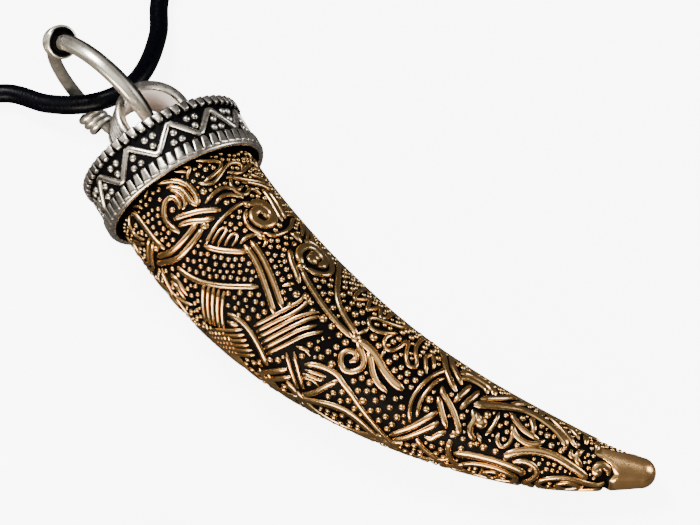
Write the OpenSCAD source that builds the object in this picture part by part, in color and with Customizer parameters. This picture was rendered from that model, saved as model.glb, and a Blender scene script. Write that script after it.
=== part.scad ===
// Fang pendant: a cast bronze fang with raised knotwork, held in a silver cap with an eye,
// a wire-wrapped silver ring through the eye, and a leather neck cord closed by a barrel clasp.
// The pendant lies on its side on a flat surface, with +Z up and the tip of the fang towards +X.

/* [Fang] */
// Length of the fang's axis from the cap's lip to the tip
fang_length = 60; // [58:1:62]
// Height of the raised ornament over the ground
relief = 0.35; // [0.25:0.05:0.45]
// Width of a broad ribbon of the knotwork
ribbon_w = 1.15; // [0.8:0.05:1.3]
// Width of a narrow line of the knotwork
line_w = 0.8; // [0.5:0.05:0.9]
// Diameter of a pellet
pellet_d = 1.05; // [0.7:0.05:1.2]

/* [Cap] */
// Outer radius of the cap's ground between its two rope borders
cap_r = 9.25; // [9:0.05:9.4]
// Height of the cap, from its lip to its top
cap_h = 6.6; // [6.4:0.1:7]
// Periods of the zigzag round the cap
zigzag_n = 11; // [9:1:13]
// Blocks in one rope border
rope_n = 44; // [30:1:50]

/* [Eye] */
// Outer radius of the eye
eye_r = 4.5; // [4.3:0.05:4.6]
// Radius of the eye's hole
eye_hole_r = 3.3; // [3.1:0.05:3.4]
// Width of the eye's band
eye_w = 5.2; // [4.6:0.1:5.4]

/* [Ring] */
// Radius of the ring at the middle of its wire
ring_r = 8.0; // [7.8:0.1:8.1]
// Diameter of the ring's wire
wire_d = 1.45; // [1.3:0.05:1.5]
// Width of the ring's thick limb
limb_w = 2.0; // [1.8:0.1:2.2]

/* [Cord] */
// Diameter of the leather cord
cord_d = 2.2; // [2:0.1:2.2]
// Diameter of the barrel clasp
clasp_d = 4.4; // [4.2:0.1:4.4]
// Length of the barrel clasp
clasp_l = 12; // [10:1:12]

/* [Hidden] */
bronze = [0.72, 0.53, 0.30];
silver = [0.78, 0.77, 0.73];
leather = [0.07, 0.07, 0.09];

// The fang lies with the middle of its lip here, its plane sloping down along slope_heading
lip_at = [-16.7, 5.26, 9.84];
slope_heading = -16.5;
lie_slope = 6.95;
module lie() {
    translate(lip_at) rotate([0, 0, slope_heading]) rotate([0, lie_slope, 0]) rotate([0, 0, -slope_heading])
        children();
}

// Sections of the fang: distance along its axis, heading of the axis, outer radius
FANG = [
    [ 0, -57.5, 8.45],
    [10, -48.0, 8.35],
    [20, -39.0, 7.75],
    [30, -30.4, 6.65],
    [40, -22.9, 5.45],
    [50, -15.0, 3.95],
    [60,  -4.5, 1.74]
];
section_step = fang_length / (len(FANG) - 1);
cap_heading = -60;
plug_l = 4.6;

function rounded(a, b, c, d, f) =
    0.5 * (2 * b + (c - a) * f + (2 * a - 5 * b + 4 * c - d) * f * f + (3 * b - a - 3 * c + d) * f * f * f);
function row(rows, i) =
    let (last = len(rows) - 1)
    i < 0 ? 2 * rows[0] - rows[1] : i > last ? 2 * rows[last] - rows[last - 1] : rows[i];
function through(rows, i, f) =
    rounded(row(rows, i - 1), row(rows, i), row(rows, i + 1), row(rows, i + 2), f);
function section(s) =
    let (u = s / section_step, i = max(0, min(floor(u), len(FANG) - 2)))
    through(FANG, i, u - i);
function heading(s) = s < 0 ? cap_heading : section(s)[1];
function ground_r(s) = section(max(s, 0))[2] - relief;

// Axis of the fang in its own plane, one point for each millimetre
AXIS = [
    for (i = 0, p = [0, 0]; i <= fang_length; p = p + [cos(heading(i + 0.5)), sin(heading(i + 0.5))], i = i + 1) p
];
function axis_at(s) =
    s < 0 ? s * [cos(cap_heading), sin(cap_heading)]
    : let (i = min(floor(s), fang_length - 1)) AXIS[i] + (s - i) * (AXIS[i + 1] - AXIS[i]);
// Point at distance s along the fang, at angle a round it (0 on the hollow side, 90 on top)
function on_fang(s, a, r) =
    let (p = axis_at(s), t = heading(s))
    [p[0] - r * cos(a) * sin(t), p[1] + r * cos(a) * cos(t), r * sin(a)];

// Closed skin over rings of points that all have the same number of points
module skin(rings) {
    m = len(rings[0]);
    n = len(rings);
    sides = [
        for (i = [0:n - 2]) for (j = [0:m - 1]) let (k = (j + 1) % m)
            for (face = [
                [i * m + j, i * m + k, (i + 1) * m + k],
                [i * m + j, (i + 1) * m + k, (i + 1) * m + j]
            ]) face
    ];
    first_end = [for (j = [m - 1:-1:0]) j];
    last_end = [for (j = [0:m - 1]) (n - 1) * m + j];
    polyhedron([for (ring = rings) each ring], concat(sides, [first_end, last_end]));
}

// Ornament. Its lines are given for one face of the fang, as distance along the axis and
// angle round it, and the other face has them mirrored.
sink = 0.4;
line_sink = 0.15;
bevel = 0.12;
line_step = 3;

// Runs of points along a line through a few given points, no more than line_step apart
function mm_between(p, q) =
    norm([q[0] - p[0], (q[1] - p[1]) * PI / 180 * ground_r((p[0] + q[0]) / 2)]);
function run(points) = concat(
    [
        for (i = [0:len(points) - 2])
            let (n = max(1, ceil(mm_between(points[i], points[i + 1]) / line_step)))
                for (k = [0:n - 1]) through(points, i, k / n)
    ],
    [points[len(points) - 1]]
);
// Unit vector along a run at its point i, as millimetres along and round the fang
function course(path, i) =
    let (
        p = path[max(i - 1, 0)], q = path[min(i + 1, len(path) - 1)],
        v = [q[0] - p[0], (q[1] - p[1]) * PI / 180 * ground_r(path[i][0])]
    ) v / norm(v);
function beside(point, way, off, lift) =
    let (
        r = ground_r(point[0]),
        s = point[0] - off * way[1],
        a = point[1] + off * way[0] / r * 180 / PI
    ) on_fang(s, a, ground_r(s) + lift);
// Raised band with a flat top
module ribbon(path) {
    skin([
        for (i = [0:len(path) - 1]) let (way = course(path, i)) [
            beside(path[i], way, ribbon_w / 2 - bevel, relief),
            beside(path[i], way, bevel - ribbon_w / 2, relief),
            beside(path[i], way, -ribbon_w / 2, -sink),
            beside(path[i], way, ribbon_w / 2, -sink)
        ]
    ]);
}
// Raised line with a single crest
module line(path) {
    skin([
        for (i = [0:len(path) - 1]) let (way = course(path, i)) [
            beside(path[i], way, 0, relief),
            beside(path[i], way, -line_w / 2, -line_sink),
            beside(path[i], way, line_w / 2, -line_sink)
        ]
    ]);
}

module pellet(s, a, d) {
    sides = 6;
    hull() skin([
        for (level = [[-sink, d / 2], [relief, d * 0.3]]) [
            for (j = [0:sides - 1]) let (t = -j * 360 / sides)
                beside([s, a], [1, 0], level[1] * sin(t), level[0]) + level[1] * cos(t) * [
                    cos(heading(s)), sin(heading(s)), 0
                ]
        ]
    ]);
}

// Broad ribbons: the points that each runs through
RIBBONS = [
    // Curl, hook and bars at the lip
    [[0.5, 105], [2.4, 103.5], [2.6, 108.6], [0.5, 111]],
    [[2.2, 118.5], [0.8, 121], [1.2, 130], [3.2, 133.4], [4.2, 130.8]],
    [[5.3, 95], [3.9, 108], [2.8, 127]],
    [[4.6, 115], [5.0, 135], [4.2, 160]],
    [[5.5, 113], [6.0, 135], [4.5, 168]],
    [[4.2, 151], [1.6, 153.6], [0.5, 156]],
    // Field of pellets and the two bars beside it
    [[7.0, 122], [8.6, 114], [10.6, 100]],
    [[6.4, 152], [9.3, 144], [11.8, 129.5], [14.1, 113.5]],
    [[9.9, 92], [13.4, 97.6], [17.5, 113]],
    [[9.8, 98.5], [12.9, 103], [17.2, 121]],
    // Legs of the second scroll
    [[16.0, 77.5], [19.0, 85.8], [25.2, 95.6]],
    [[17.6, 26], [20.3, 66.5], [25.4, 91]],
    [[13.3, 67], [13.8, 74.5], [17.0, 88]],
    [[13.6, 150], [15.6, 146], [19.5, 165]],
    // Lower borders and the knot
    [[22.7, 140.5], [25.4, 132], [29.6, 149.5], [34.8, 184]],
    [[23.4, 184], [28.4, 162.6], [33.2, 184]],
    [[25.9, 94.5], [28.7, 98.5], [32.6, 111]],
    [[27.4, 98], [29.0, 112], [31.3, 122]],
    // Crossing bands
    [[34.0, 32], [35.7, 66], [37.8, 85]],
    [[36.2, 90], [38.3, 107], [39.8, 130]],
    [[36.3, 101], [37.8, 120], [39.0, 134], [37.6, 151]],
    [[36.9, 116], [35.3, 142], [33.5, 168]],
    [[37.5, 126], [36.0, 148.5], [34.0, 173]],
    [[39.5, 139], [39.9, 165], [41.5, 186]],
    [[37.2, 58], [39.3, 46], [41.7, 61]],
    [[38.9, 68], [38.1, 98]],
    [[40.0, 68], [39.0, 101]],
    // Arcs towards the tip
    [[40.1, 89], [42.6, 75], [46.4, 58.6], [49.7, 71], [51.2, 92]],
    [[44.8, 91], [46.8, 109.4], [48.6, 96]],
    [[45.3, 144], [47.6, 118], [50.4, 116.2], [54.0, 148]],
    [[40.2, 158], [44.0, 149.6], [47.4, 165]],
    [[49.2, 180], [52.2, 153.4], [55.4, 166]]
];
// Narrow lines: the points that each runs through
LINES = [
    [[5.6, 55], [4.6, 66], [3.1, 83], [3.5, 100]],
    [[4.9, 41], [8.4, 46], [9.7, 50]],
    [[5.8, 76], [6.0, 100], [7.0, 120]],
    [[10.0, 79], [11.2, 64], [10.0, 40]],
    [[22.3, 34], [22.6, 61], [23.8, 47], [24.4, 62], [25.3, 46], [26.3, 58], [26.8, 34]],
    [[29.2, 34], [25.6, 68], [27.5, 73], [28.8, 62]],
    [[30.4, 60], [31.9, 87], [31.4, 34]],
    [[26.4, 138], [24.6, 165], [23.0, 184]],
    [[35.3, 64], [34.4, 90], [34.8, 139]],
    [[44.2, 34], [42.8, 57], [40.5, 77]],
    [[44.2, 76], [46.3, 93.5], [48.0, 97]],
    [[43.0, 86], [42.4, 126]],
    [[46.2, 142], [48.4, 141], [48.0, 180]],
    [[41.2, 175], [44.0, 161.5], [47.0, 182]],
    [[54.2, 128], [54.5, 112], [55.6, 104], [56.6, 112], [57.0, 128]],
    [[48.5, 38], [50.4, 62], [52.0, 84]]
];
// Scrolls: distance, angle, radius, turns, angle of the outer end, and 1 or -1 for the hand
SPIRALS = [
    [ 8.1,  70, 1.8, 1.5, 170,  1],
    [15.8,  57, 2.4, 1.5,  60, -1],
    [26.5, 114, 1.5, 1.2, 200,  1]
];
// Woven panels: start and end of the first strand, shift from strand to strand, number of strands
WOVEN = [
    [[10.2, 146], [11.8, 172], [1.1, -4.2], 4],
    [[13.6, 183], [16.2, 157], [0.9,  5.2], 3],
    [[17.6, 145], [21.4, 105], [0.9,  5.6], 4]
];
// Fields of pellets: first pellet, shift along a row, pellets in a row, shift between rows, rows
FIELDS = [
    [[ 9.0, 132], [1.3,  -9.0], 3, [1,      0], 1],
    [[15.4, 132], [1.6,  -7.0], 2, [1,      0], 1],
    [[22.6, 112], [1.9,    2.0], 2, [1,      0], 1],
    [[30.0, 135], [1.9,    2.0], 2, [1,      0], 1]
];

function spiral(row, points_per_turn = 8) =
    let (n = ceil(row[3] * points_per_turn), inner = 0.28)
    [
        for (k = [0:n])
            let (f = k / n, rho = row[2] * (1 - (1 - inner) * f), t = row[4] + row[5] * 360 * row[3] * f)
                [row[0] + rho * cos(t), row[1] + rho * sin(t) / ground_r(row[0]) * 180 / PI]
    ];

module ornament() {
    for (points = RIBBONS) ribbon(run(points));
    for (points = LINES) line(run(points));
    for (row = SPIRALS) line(spiral(row));
    for (panel = WOVEN) for (k = [0:panel[3] - 1])
        line(run([panel[0] + k * panel[2], panel[1] + k * panel[2]]));
    for (field = FIELDS) for (i = [0:field[2] - 1]) for (j = [0:field[4] - 1])
        let (p = field[0] + i * field[1] + j * field[3]) pellet(p[0], p[1], pellet_d);
}

module fang() {
    fang_sides = 26;
    body_rings = 17;
    tip_rings = 3;
    tip_turn = 75;
    tip = fang_length;
    // The tip has no ornament and is as thick as the ornament's crests
    plain_from = tip - 3.8;
    stations = concat(
        [-plug_l, -0.3], [for (i = [0:body_rings - 1]) i * plain_from / body_rings],
        [plain_from, plain_from + 0.8, plain_from + 2.3, tip]
    );
    body = [for (s = stations) [s, ground_r(s) + (s > plain_from ? relief : 0), 0]];
    round_end = [
        for (i = [1:tip_rings]) let (t = i * tip_turn / tip_rings, r = ground_r(tip) + relief)
            [tip, r * cos(t), r * sin(t)]
    ];
    tip_way = [cos(heading(tip)), sin(heading(tip)), 0];
    color(bronze) lie() union() {
        skin([
            for (ring = concat(body, round_end)) [
                for (j = [0:fang_sides - 1]) on_fang(ring[0], -j * 360 / fang_sides, ring[1]) + ring[2] * tip_way
            ]
        ]);
        ornament();
        mirror([0, 0, 1]) ornament();
    }
}

// The cap's own frame has its middle at the fang's lip and +Z away from the tip
module on_cap() {
    lie() rotate([90, 0, cap_heading + 90]) rotate([180, 0, 0]) children();
}
lip_h = 1.2;
low_rope_h = 2.2;
high_rope_h = 7.25;

module cap_body() {
    top = lip_h + cap_h;
    ceiling = 6.2;
    bore_r = 8.4;
    mouth_r = 9.1;
    mouth_h = 2.8;
    lip_r = 9.6;
    rotate_extrude($fn = 96) polygon([
        [0, ceiling], [bore_r, ceiling], [bore_r, mouth_h + 0.5], [mouth_r, mouth_h], [mouth_r, lip_h],
        [lip_r - 0.2, lip_h], [lip_r, lip_h + 0.2], [lip_r, low_rope_h - 0.6], [cap_r, low_rope_h - 0.3],
        [cap_r, high_rope_h], [cap_r, top - 0.2], [cap_r - 0.2, top], [0, top]
    ]);
}

// Rope border: blocks set side by side round the cap, a little slanted
module rope(h, tall, slant) {
    block = [0.9, 360 / rope_n * PI / 180 * cap_r * 0.78, tall];
    for (i = [0:rope_n - 1]) rotate([0, 0, i * 360 / rope_n])
        translate([cap_r - 0.3, 0, h]) rotate([slant, 0, 0]) translate([0, -block[1] / 2, -block[2] / 2]) cube(block);
}

module zigzag() {
    bar_w = 0.62;
    bar_in = 0.35;
    joint_r = 0.37;
    joint_out = 0.4;
    low = 3.4;
    high = 6.4;
    first_top = -94;
    half_period = 180 / zigzag_n;
    rise = high - low;
    sweep = 2 * cap_r * sin(half_period / 2);
    length = norm([rise, sweep]);
    for (i = [0:zigzag_n - 1]) {
        // One rising and one falling bar, the falling one a little flatter
        for (bar = [[1, 0.36], [-1, 0.33]])
            rotate([0, 0, first_top + (2 * i + bar[0] * 0.5) * half_period])
                translate([cap_r * cos(half_period / 2) - bar_in, 0, (low + high) / 2])
                    rotate([bar[0] * atan2(sweep, rise), 0, 0])
                        translate([0, -bar_w / 2, -length / 2]) cube([bar_in + bar[1], bar_w, length]);
        // Rounded corners
        for (corner = [[0, high], [1, low]])
            rotate([0, 0, first_top + (2 * i + corner[0]) * half_period])
                translate([cap_r - bar_in, 0, corner[1]]) rotate([0, 90, 0])
                    cylinder(r = joint_r, h = bar_in + joint_out, $fn = 24);
    }
}

module cap_pellets() {
    first_top = -94;
    r = 0.42;
    // Place in a triangle: angle from its middle, height from its middle
    trio = [[0, -0.62], [-3.1, 0.32], [3.1, 0.32]];
    for (i = [0:2 * zigzag_n - 1]) for (place = trio) {
        up = i % 2 == 0 ? 1 : -1;
        rotate([0, 0, first_top + i * 180 / zigzag_n + place[0]])
            translate([cap_r + 0.02, 0, 4.9 - up * (0.62 + place[1])]) sphere(r = r, $fn = 24);
    }
}

module eye() {
    middle = [0.4, 0, 10.75];
    turn = 7;
    rim = 0.9;
    rib = 0.55;
    groove = 0.18;
    ribs = floor((eye_w - 2 * rim) / rib);
    translate(middle) rotate([0, 0, turn]) rotate([90, 0, 0]) difference() {
        union() {
            cylinder(r = eye_r - groove, h = eye_w, center = true, $fn = 64);
            for (side = [-1, 1]) translate([0, 0, side * (eye_w - rim) / 2])
                cylinder(r = eye_r, h = rim, center = true, $fn = 64);
            for (i = [0:ribs - 1]) translate([0, 0, (i + 0.5 - ribs / 2) * rib])
                cylinder(r = eye_r - 0.04, h = rib * 0.6, center = true, $fn = 64);
        }
        cylinder(r = eye_hole_r, h = eye_w + 2, center = true, $fn = 64);
    }
}

module cap() {
    color(silver) on_cap() union() {
        cap_body();
        rope(low_rope_h, 1.9, -6);
        rope(high_rope_h, 1.05, 10);
        zigzag();
        cap_pellets();
        eye();
    }
}

// The ring stands on edge: +X of its own frame points at the eye and +Y points up
ring_at = [-27.14, 19.42, 9.45];
ring_heading = -42;
ring_lean = 2;
module arc(from, to, width, depth) {
    rotate([0, 0, from]) rotate_extrude(angle = to - from, $fn = 96)
        translate([ring_r, 0]) scale([depth / width, 1]) circle(d = width, $fn = 32);
}
module wrap(at, turns, coil_r, turn_d, shift, aside) {
    pitch = turn_d * 0.92 / ring_r * 180 / PI;
    for (k = [0:turns - 1]) rotate([0, 0, at + (k - (turns - 1) / 2) * pitch])
        translate([ring_r + shift, 0, aside]) rotate([90, 0, 0])
            rotate_extrude($fn = 48) translate([coil_r, 0]) circle(d = turn_d, $fn = 24);
}
module ring() {
    color(silver) translate(ring_at) rotate([90 + ring_lean, 0, ring_heading]) union() {
        rotate_extrude($fn = 96) translate([ring_r, 0]) circle(d = wire_d, $fn = 32);
        arc(30, 139, limb_w, 1.65);
        wrap(142.5, 4, 1.65, 0.62, 0, 0);
        wrap(142.9, 1, 1.02, 0.98, 0, 0);
        wrap(-102, 3, 1.1, 1.0, -0.15, 0.45);
    }
}

// Cord: its route leaves the clasp, passes round in front, up on the left, through the ring,
// and back behind and down on the right
ROUTE = [
    [52.4, -22, 2.2], [52.4, -27.5, 2.2], [50.2, -36.8, 1], [41.8, -43.4, 1], [32.6, -41, 1],
    [24.4, -33.8, 1], [13.8, -34, 1], [5.6, -41.6, 1], [-4.8, -43.8, 1], [-13.6, -37, 1], [-23, -33, 1],
    [-32.6, -38, 1], [-42, -43.8, 1], [-51.6, -38, 1], [-53.4, -27.4, 1], [-46.6, -18.2, 1],
    [-44.4, -7.6, 1], [-50.4, 2, 1], [-53.6, 12.4, 1], [-48.2, 21.8, 1], [-39.7, 24.1, 1.5],
    [-34.1, 21.9, 3], [-29.4, 20.75, 5], [-25.4, 22, 5.5], [-22.95, 25.6, 4.3], [-21.6, 31.6, 2.1],
    [-21.1, 38.4, 1], [-15.4, 45.2, 1], [-5.2, 46, 1], [4.4, 40.6, 1], [15, 41.2, 1], [25.2, 46.2, 1],
    [36.4, 43.2, 1], [47.6, 41.6, 1], [53.4, 33.2, 1], [50.4, 24.4, 1], [45, 15, 1], [46.8, 4.2, 1],
    [52.4, -4.4, 2.2], [52.4, -10, 2.2]
];
cord_sides = 8;
cord_step = 3.4;

function no_lower(p, z) = [p[0], p[1], max(p[2], z)];
function cord_rows() = concat(
    [
        for (i = [0:len(ROUTE) - 2])
            let (n = max(1, round(norm(ROUTE[i + 1] - ROUTE[i]) / cord_step)))
                for (k = [0:n - 1]) no_lower(through(ROUTE, i, k / n), cord_d / 2)
    ],
    [ROUTE[len(ROUTE) - 1]]
);
module cord() {
    rows = cord_rows();
    last = len(rows) - 1;
    // The flats of the tube are as far out as the round cord's side
    r = cord_d / 2 / cos(180 / cord_sides);
    color(leather) skin([
        for (i = [0:last])
            let (
                // Both ends lie in line with the clasp
                v = i == 0 || i == last ? [0, -1, 0] : rows[i + 1] - rows[i - 1],
                way = v / norm(v),
                level = cross([0, 0, 1], way),
                side = level / norm(level),
                up = cross(way, side)
            ) [
                for (j = [0:cord_sides - 1]) let (t = -(j + 0.5) * 360 / cord_sides)
                    rows[i] + r * (cos(t) * side + sin(t) * up)
            ]
    ]);
}

module clasp() {
    from = ROUTE[0];
    groove = 0.25;
    color(silver) translate(from) rotate([-90, 0, 0]) difference() {
        cylinder(d = clasp_d, h = clasp_l, $fn = 48);
        for (h = [clasp_l * 0.25, clasp_l * 0.75]) translate([0, 0, h - 0.25]) difference() {
            cylinder(d = clasp_d + 1, h = 0.5, $fn = 48);
            translate([0, 0, -1]) cylinder(d = clasp_d - 2 * groove, h = 3, $fn = 48);
        }
    }
}

// Brings the middle of the fang, cap and ring over the origin
centred = [-0.1, 0.5, 0];
translate(centred) {
    fang();
    cap();
    ring();
    cord();
    clasp();
}
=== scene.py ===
"""Fang pendant on a leather cord: the looks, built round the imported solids.

Sizes are in millimetres and angles in degrees. A mesh is turned into the frame's metres when it is made.
"""

import logging
import math
from dataclasses import dataclass
from enum import Enum

import bpy
import numpy as np
from mathutils import Matrix, Vector


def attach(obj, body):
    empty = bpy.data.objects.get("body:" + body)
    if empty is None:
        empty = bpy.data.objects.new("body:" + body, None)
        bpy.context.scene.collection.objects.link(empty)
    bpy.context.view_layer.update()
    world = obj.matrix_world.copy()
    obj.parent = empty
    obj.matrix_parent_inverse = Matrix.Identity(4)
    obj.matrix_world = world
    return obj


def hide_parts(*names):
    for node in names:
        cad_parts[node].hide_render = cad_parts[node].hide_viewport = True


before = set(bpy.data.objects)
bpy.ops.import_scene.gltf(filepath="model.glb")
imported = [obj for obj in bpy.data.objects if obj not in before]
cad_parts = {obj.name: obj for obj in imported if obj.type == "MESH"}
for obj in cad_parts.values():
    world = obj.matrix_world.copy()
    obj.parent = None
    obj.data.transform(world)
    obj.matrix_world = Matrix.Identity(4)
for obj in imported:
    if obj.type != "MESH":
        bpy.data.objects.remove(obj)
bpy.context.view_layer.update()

log = logging.getLogger("fang_pendant")
MM = 0.001
SEED = 7
FACES = (1, -1)  # the fang's upper face and the mirrored lower one
UP = np.array([0.0, 0.0, 1.0])


# Frames


def turn(axis: str, degrees: float) -> np.ndarray:
    """A 3 by 3 turn about a main axis."""
    return np.array(Matrix.Rotation(math.radians(degrees), 3, axis))


# Brings the middle of the fang, cap and ring over the origin
CENTRED = np.array([-0.1, 0.5, 0.0])
LIP_AT = np.array([-16.7, 5.26, 9.84]) + CENTRED
SLOPE_HEADING = -16.5
LIE_SLOPE = 6.95
CAP_HEADING = -60.0
LIE = turn("Z", SLOPE_HEADING) @ turn("Y", LIE_SLOPE) @ turn("Z", -SLOPE_HEADING)
CAP_TURN = LIE @ turn("Z", CAP_HEADING + 90) @ turn("X", 90) @ turn("X", 180)
RING_AT = np.array([-27.14, 19.42, 9.45]) + CENTRED
RING_TURN = turn("Z", -42.0) @ turn("X", 92.0)


@dataclass(frozen=True)
class Place:
    """Where a piece's own frame sits in the row frame."""

    at: tuple[float, float, float] | np.ndarray
    turned: np.ndarray

    def put(self, points: np.ndarray) -> np.ndarray:
        """Points of the piece's own frame, in the row frame."""
        return points @ self.turned.T + np.asarray(self.at)

    def aim(self, directions: np.ndarray) -> np.ndarray:
        """Directions of the piece's own frame, in the row frame."""
        return directions @ self.turned.T


ON_FLOOR = Place((0.0, 0.0, 0.0), np.eye(3))
ON_FANG = Place(LIP_AT, LIE)
ON_CAP = Place(LIP_AT, CAP_TURN)
ON_RING = Place(RING_AT, RING_TURN)


# Finishes


class Graph:
    """A node tree under construction."""

    def __init__(self, tree: bpy.types.NodeTree) -> None:
        """Takes up a tree."""
        self.tree = tree

    def fill(self, socket: bpy.types.NodeSocket, value: object) -> None:
        """Links another socket to this one, or gives it a plain value."""
        if isinstance(value, bpy.types.NodeSocket):
            self.tree.links.new(value, socket)
        else:
            socket.default_value = value

    def node(self, kind: str, links: dict[str, object] | None = None, **settings) -> bpy.types.NodeOutputs:
        """Adds a node.

        Args:
            kind: Its type.
            links: What goes into its inputs, sockets or plain values, by identifier.
            settings: Its own settings.

        Returns:
            Its outputs.
        """
        made = self.tree.nodes.new(kind)
        for key, value in settings.items():
            setattr(made, key, value)
        sockets = {socket.identifier: socket for socket in made.inputs}
        for key, value in (links or {}).items():
            self.fill(sockets[key], value)
        return made.outputs

    def sum(self, operation: str, a: object, b: object) -> bpy.types.NodeSocket:
        """The result of a sum on two numbers."""
        return self.node("ShaderNodeMath", {"Value": a, "Value_001": b}, operation=operation)[0]


class Shader(Graph):
    """A material's node tree under construction."""

    def __init__(self, name: str) -> None:
        """Starts a material with one Principled shader and the object's coordinates."""
        self.material = bpy.data.materials.new(name)
        self.material.use_nodes = True
        super().__init__(self.material.node_tree)
        self.coordinates = self.node("ShaderNodeTexCoord")["Object"]

    def finish(self, **values) -> bpy.types.Material:
        """Fills the shader's own sockets, with underscores for the spaces in their names."""
        for key, value in values.items():
            self.fill(self.tree.nodes["Principled BSDF"].inputs[key.replace("_", " ")], value)
        return self.material

    def noise(self, scale: float, detail: float) -> bpy.types.NodeSocket:
        """Noise of so many spots to the coordinates' unit, from 0 to 1."""
        links = {"Vector": self.coordinates, "Scale": scale, "Detail": detail}
        return self.node("ShaderNodeTexNoise", links)[0]

    def ramp(
        self, value: bpy.types.NodeSocket, low: float, high: float, a: float = 0, b: float = 1
    ) -> bpy.types.NodeSocket:
        """A number that goes smoothly from a to b as value goes from low to high."""
        ends = {"From Min": low, "From Max": high, "To Min": a, "To Max": b}
        return self.node("ShaderNodeMapRange", {"Value": value, **ends}, interpolation_type="SMOOTHSTEP")[0]

    def mix(self, factor: object, a: object, b: object) -> bpy.types.NodeSocket:
        """A colour between a and b."""
        links = {"Factor_Float": factor, "A_Color": a, "B_Color": b}
        return self.node("ShaderNodeMix", links, data_type="RGBA")[2]

    def crest(self) -> bpy.types.NodeSocket:
        """How far the surface stands out here, from 0 in a recess to 1 on a crest; on the ring's wires, how
        far it is out of painted shade.
        """
        return self.node("ShaderNodeAttribute", attribute_name="crest")["Fac"]

    def bump(self, height: bpy.types.NodeSocket, depth_mm: float) -> bpy.types.NodeSocket:
        """A normal roughened by a height of so many millimetres."""
        return self.node("ShaderNodeBump", {"Height": height, "Distance": depth_mm * MM, "Strength": 1.0})[0]


Colour = tuple[float, float, float, float]


@dataclass(frozen=True)
class AgedMetal:
    """A cast metal, polished where it stands out and dark with patina in its recesses; on the ring's wires
    the dark is painted shade.
    """

    name: str
    bright: Colour
    deep: Colour
    dark: Colour
    dark_to: float = 0.12
    bright_from: float = 0.5
    polish: float = 0.22
    grain: float = 0.003
    fleck: float = 0.06
    spread: float = 0.06
    metallic: float = 1.0

    def dress(self) -> bpy.types.Material:
        """Makes the material."""
        make = Shader(self.name)
        cloud, fine = make.noise(0.09 / MM, 4.0), make.noise(1.6 / MM, 3.0)
        metal = make.mix(make.ramp(cloud, 0.38, 0.64), self.deep, self.bright)
        fleck = make.sum("MULTIPLY", make.sum("SUBTRACT", fine, 0.5), self.fleck)
        # dark patina in the cast metal's recesses, and painted shade on the ring's wires, both from the crest
        # attribute
        clear_of_patina_and_painted_shade = make.ramp(make.sum("ADD", make.crest(), fleck), self.dark_to, self.bright_from)
        rough = make.ramp(fine, 0.3, 0.7, self.polish, self.polish + self.spread)
        return make.finish(
            Specular_IOR_Level=0.04,
            Base_Color=make.mix(clear_of_patina_and_painted_shade, self.dark, metal),
            Metallic=make.ramp(clear_of_patina_and_painted_shade, 0.0, 0.5, 0.0, self.metallic),
            Roughness=make.sum("ADD", rough, make.ramp(clear_of_patina_and_painted_shade, 0.0, 0.8, 0.3, 0.0)),
            Normal=make.bump(make.noise(2.6 / MM, 4.0), self.grain),
        )


@dataclass(frozen=True)
class PlainMetal:
    """A polished wire or barrel, or a satin wall with a painted warm reflection in its tone, with fine wear.
    """

    name: str
    bright: Colour
    deep: Colour
    polish: float
    metallic: float = 1.0
    spread: float = 0.16

    def dress(self) -> bpy.types.Material:
        """Makes the material."""
        make = Shader(self.name)
        cloud, wear = make.noise(0.12 / MM, 3.0), make.noise(0.8 / MM, 5.0)
        return make.finish(
            Base_Color=make.mix(make.ramp(cloud, 0.35, 0.65), self.deep, self.bright),
            Metallic=self.metallic,
            Roughness=make.ramp(wear, 0.35, 0.7, self.polish, self.polish + self.spread),
            Normal=make.bump(make.noise(3.0 / MM, 3.0), 0.004),
        )


@dataclass(frozen=True)
class RoundLeather:
    """Smooth dyed leather cord, with its grain along it."""

    name: str
    dye: Colour
    worn: Colour

    def dress(self) -> bpy.types.Material:
        """Makes the material, which follows the cord's own UV map."""
        make = Shader(self.name)
        make.coordinates = make.node("ShaderNodeUVMap", uv_map="along_cord")[0]
        spots = make.noise(5.0, 4.0)
        drawn_out = {"Vector": make.coordinates, "Scale": (6.0, 0.9, 1.0)}
        make.coordinates = make.node("ShaderNodeMapping", drawn_out)[0]
        grain = make.noise(3.0, 5.0)
        return make.finish(
            Base_Color=make.mix(make.ramp(grain, 0.42, 0.72), self.dye, self.worn),
            Roughness=make.ramp(spots, 0.3, 0.7, 0.26, 0.4),
            Specular_IOR_Level=0.06,
            Coat_Weight=0.025,
            Coat_Roughness=0.2,
            Normal=make.bump(make.sum("ADD", grain, make.sum("MULTIPLY", spots, 0.5)), 0.05),
        )


@dataclass(frozen=True)
class PaleFloor:
    """A plain matt floor that is lit up to white."""

    name: str
    tone: Colour
    other: Colour
    glow: float = 7.0

    def dress(self) -> bpy.types.Material:
        """Makes the material."""
        make = Shader(self.name)
        return make.finish(
            Base_Color=make.mix(make.noise(0.01 / MM, 2.0), self.tone, self.other),
            Roughness=0.8,
            Emission_Color=(1.0, 1.0, 1.0, 1.0),
            Emission_Strength=self.glow,
        )


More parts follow.
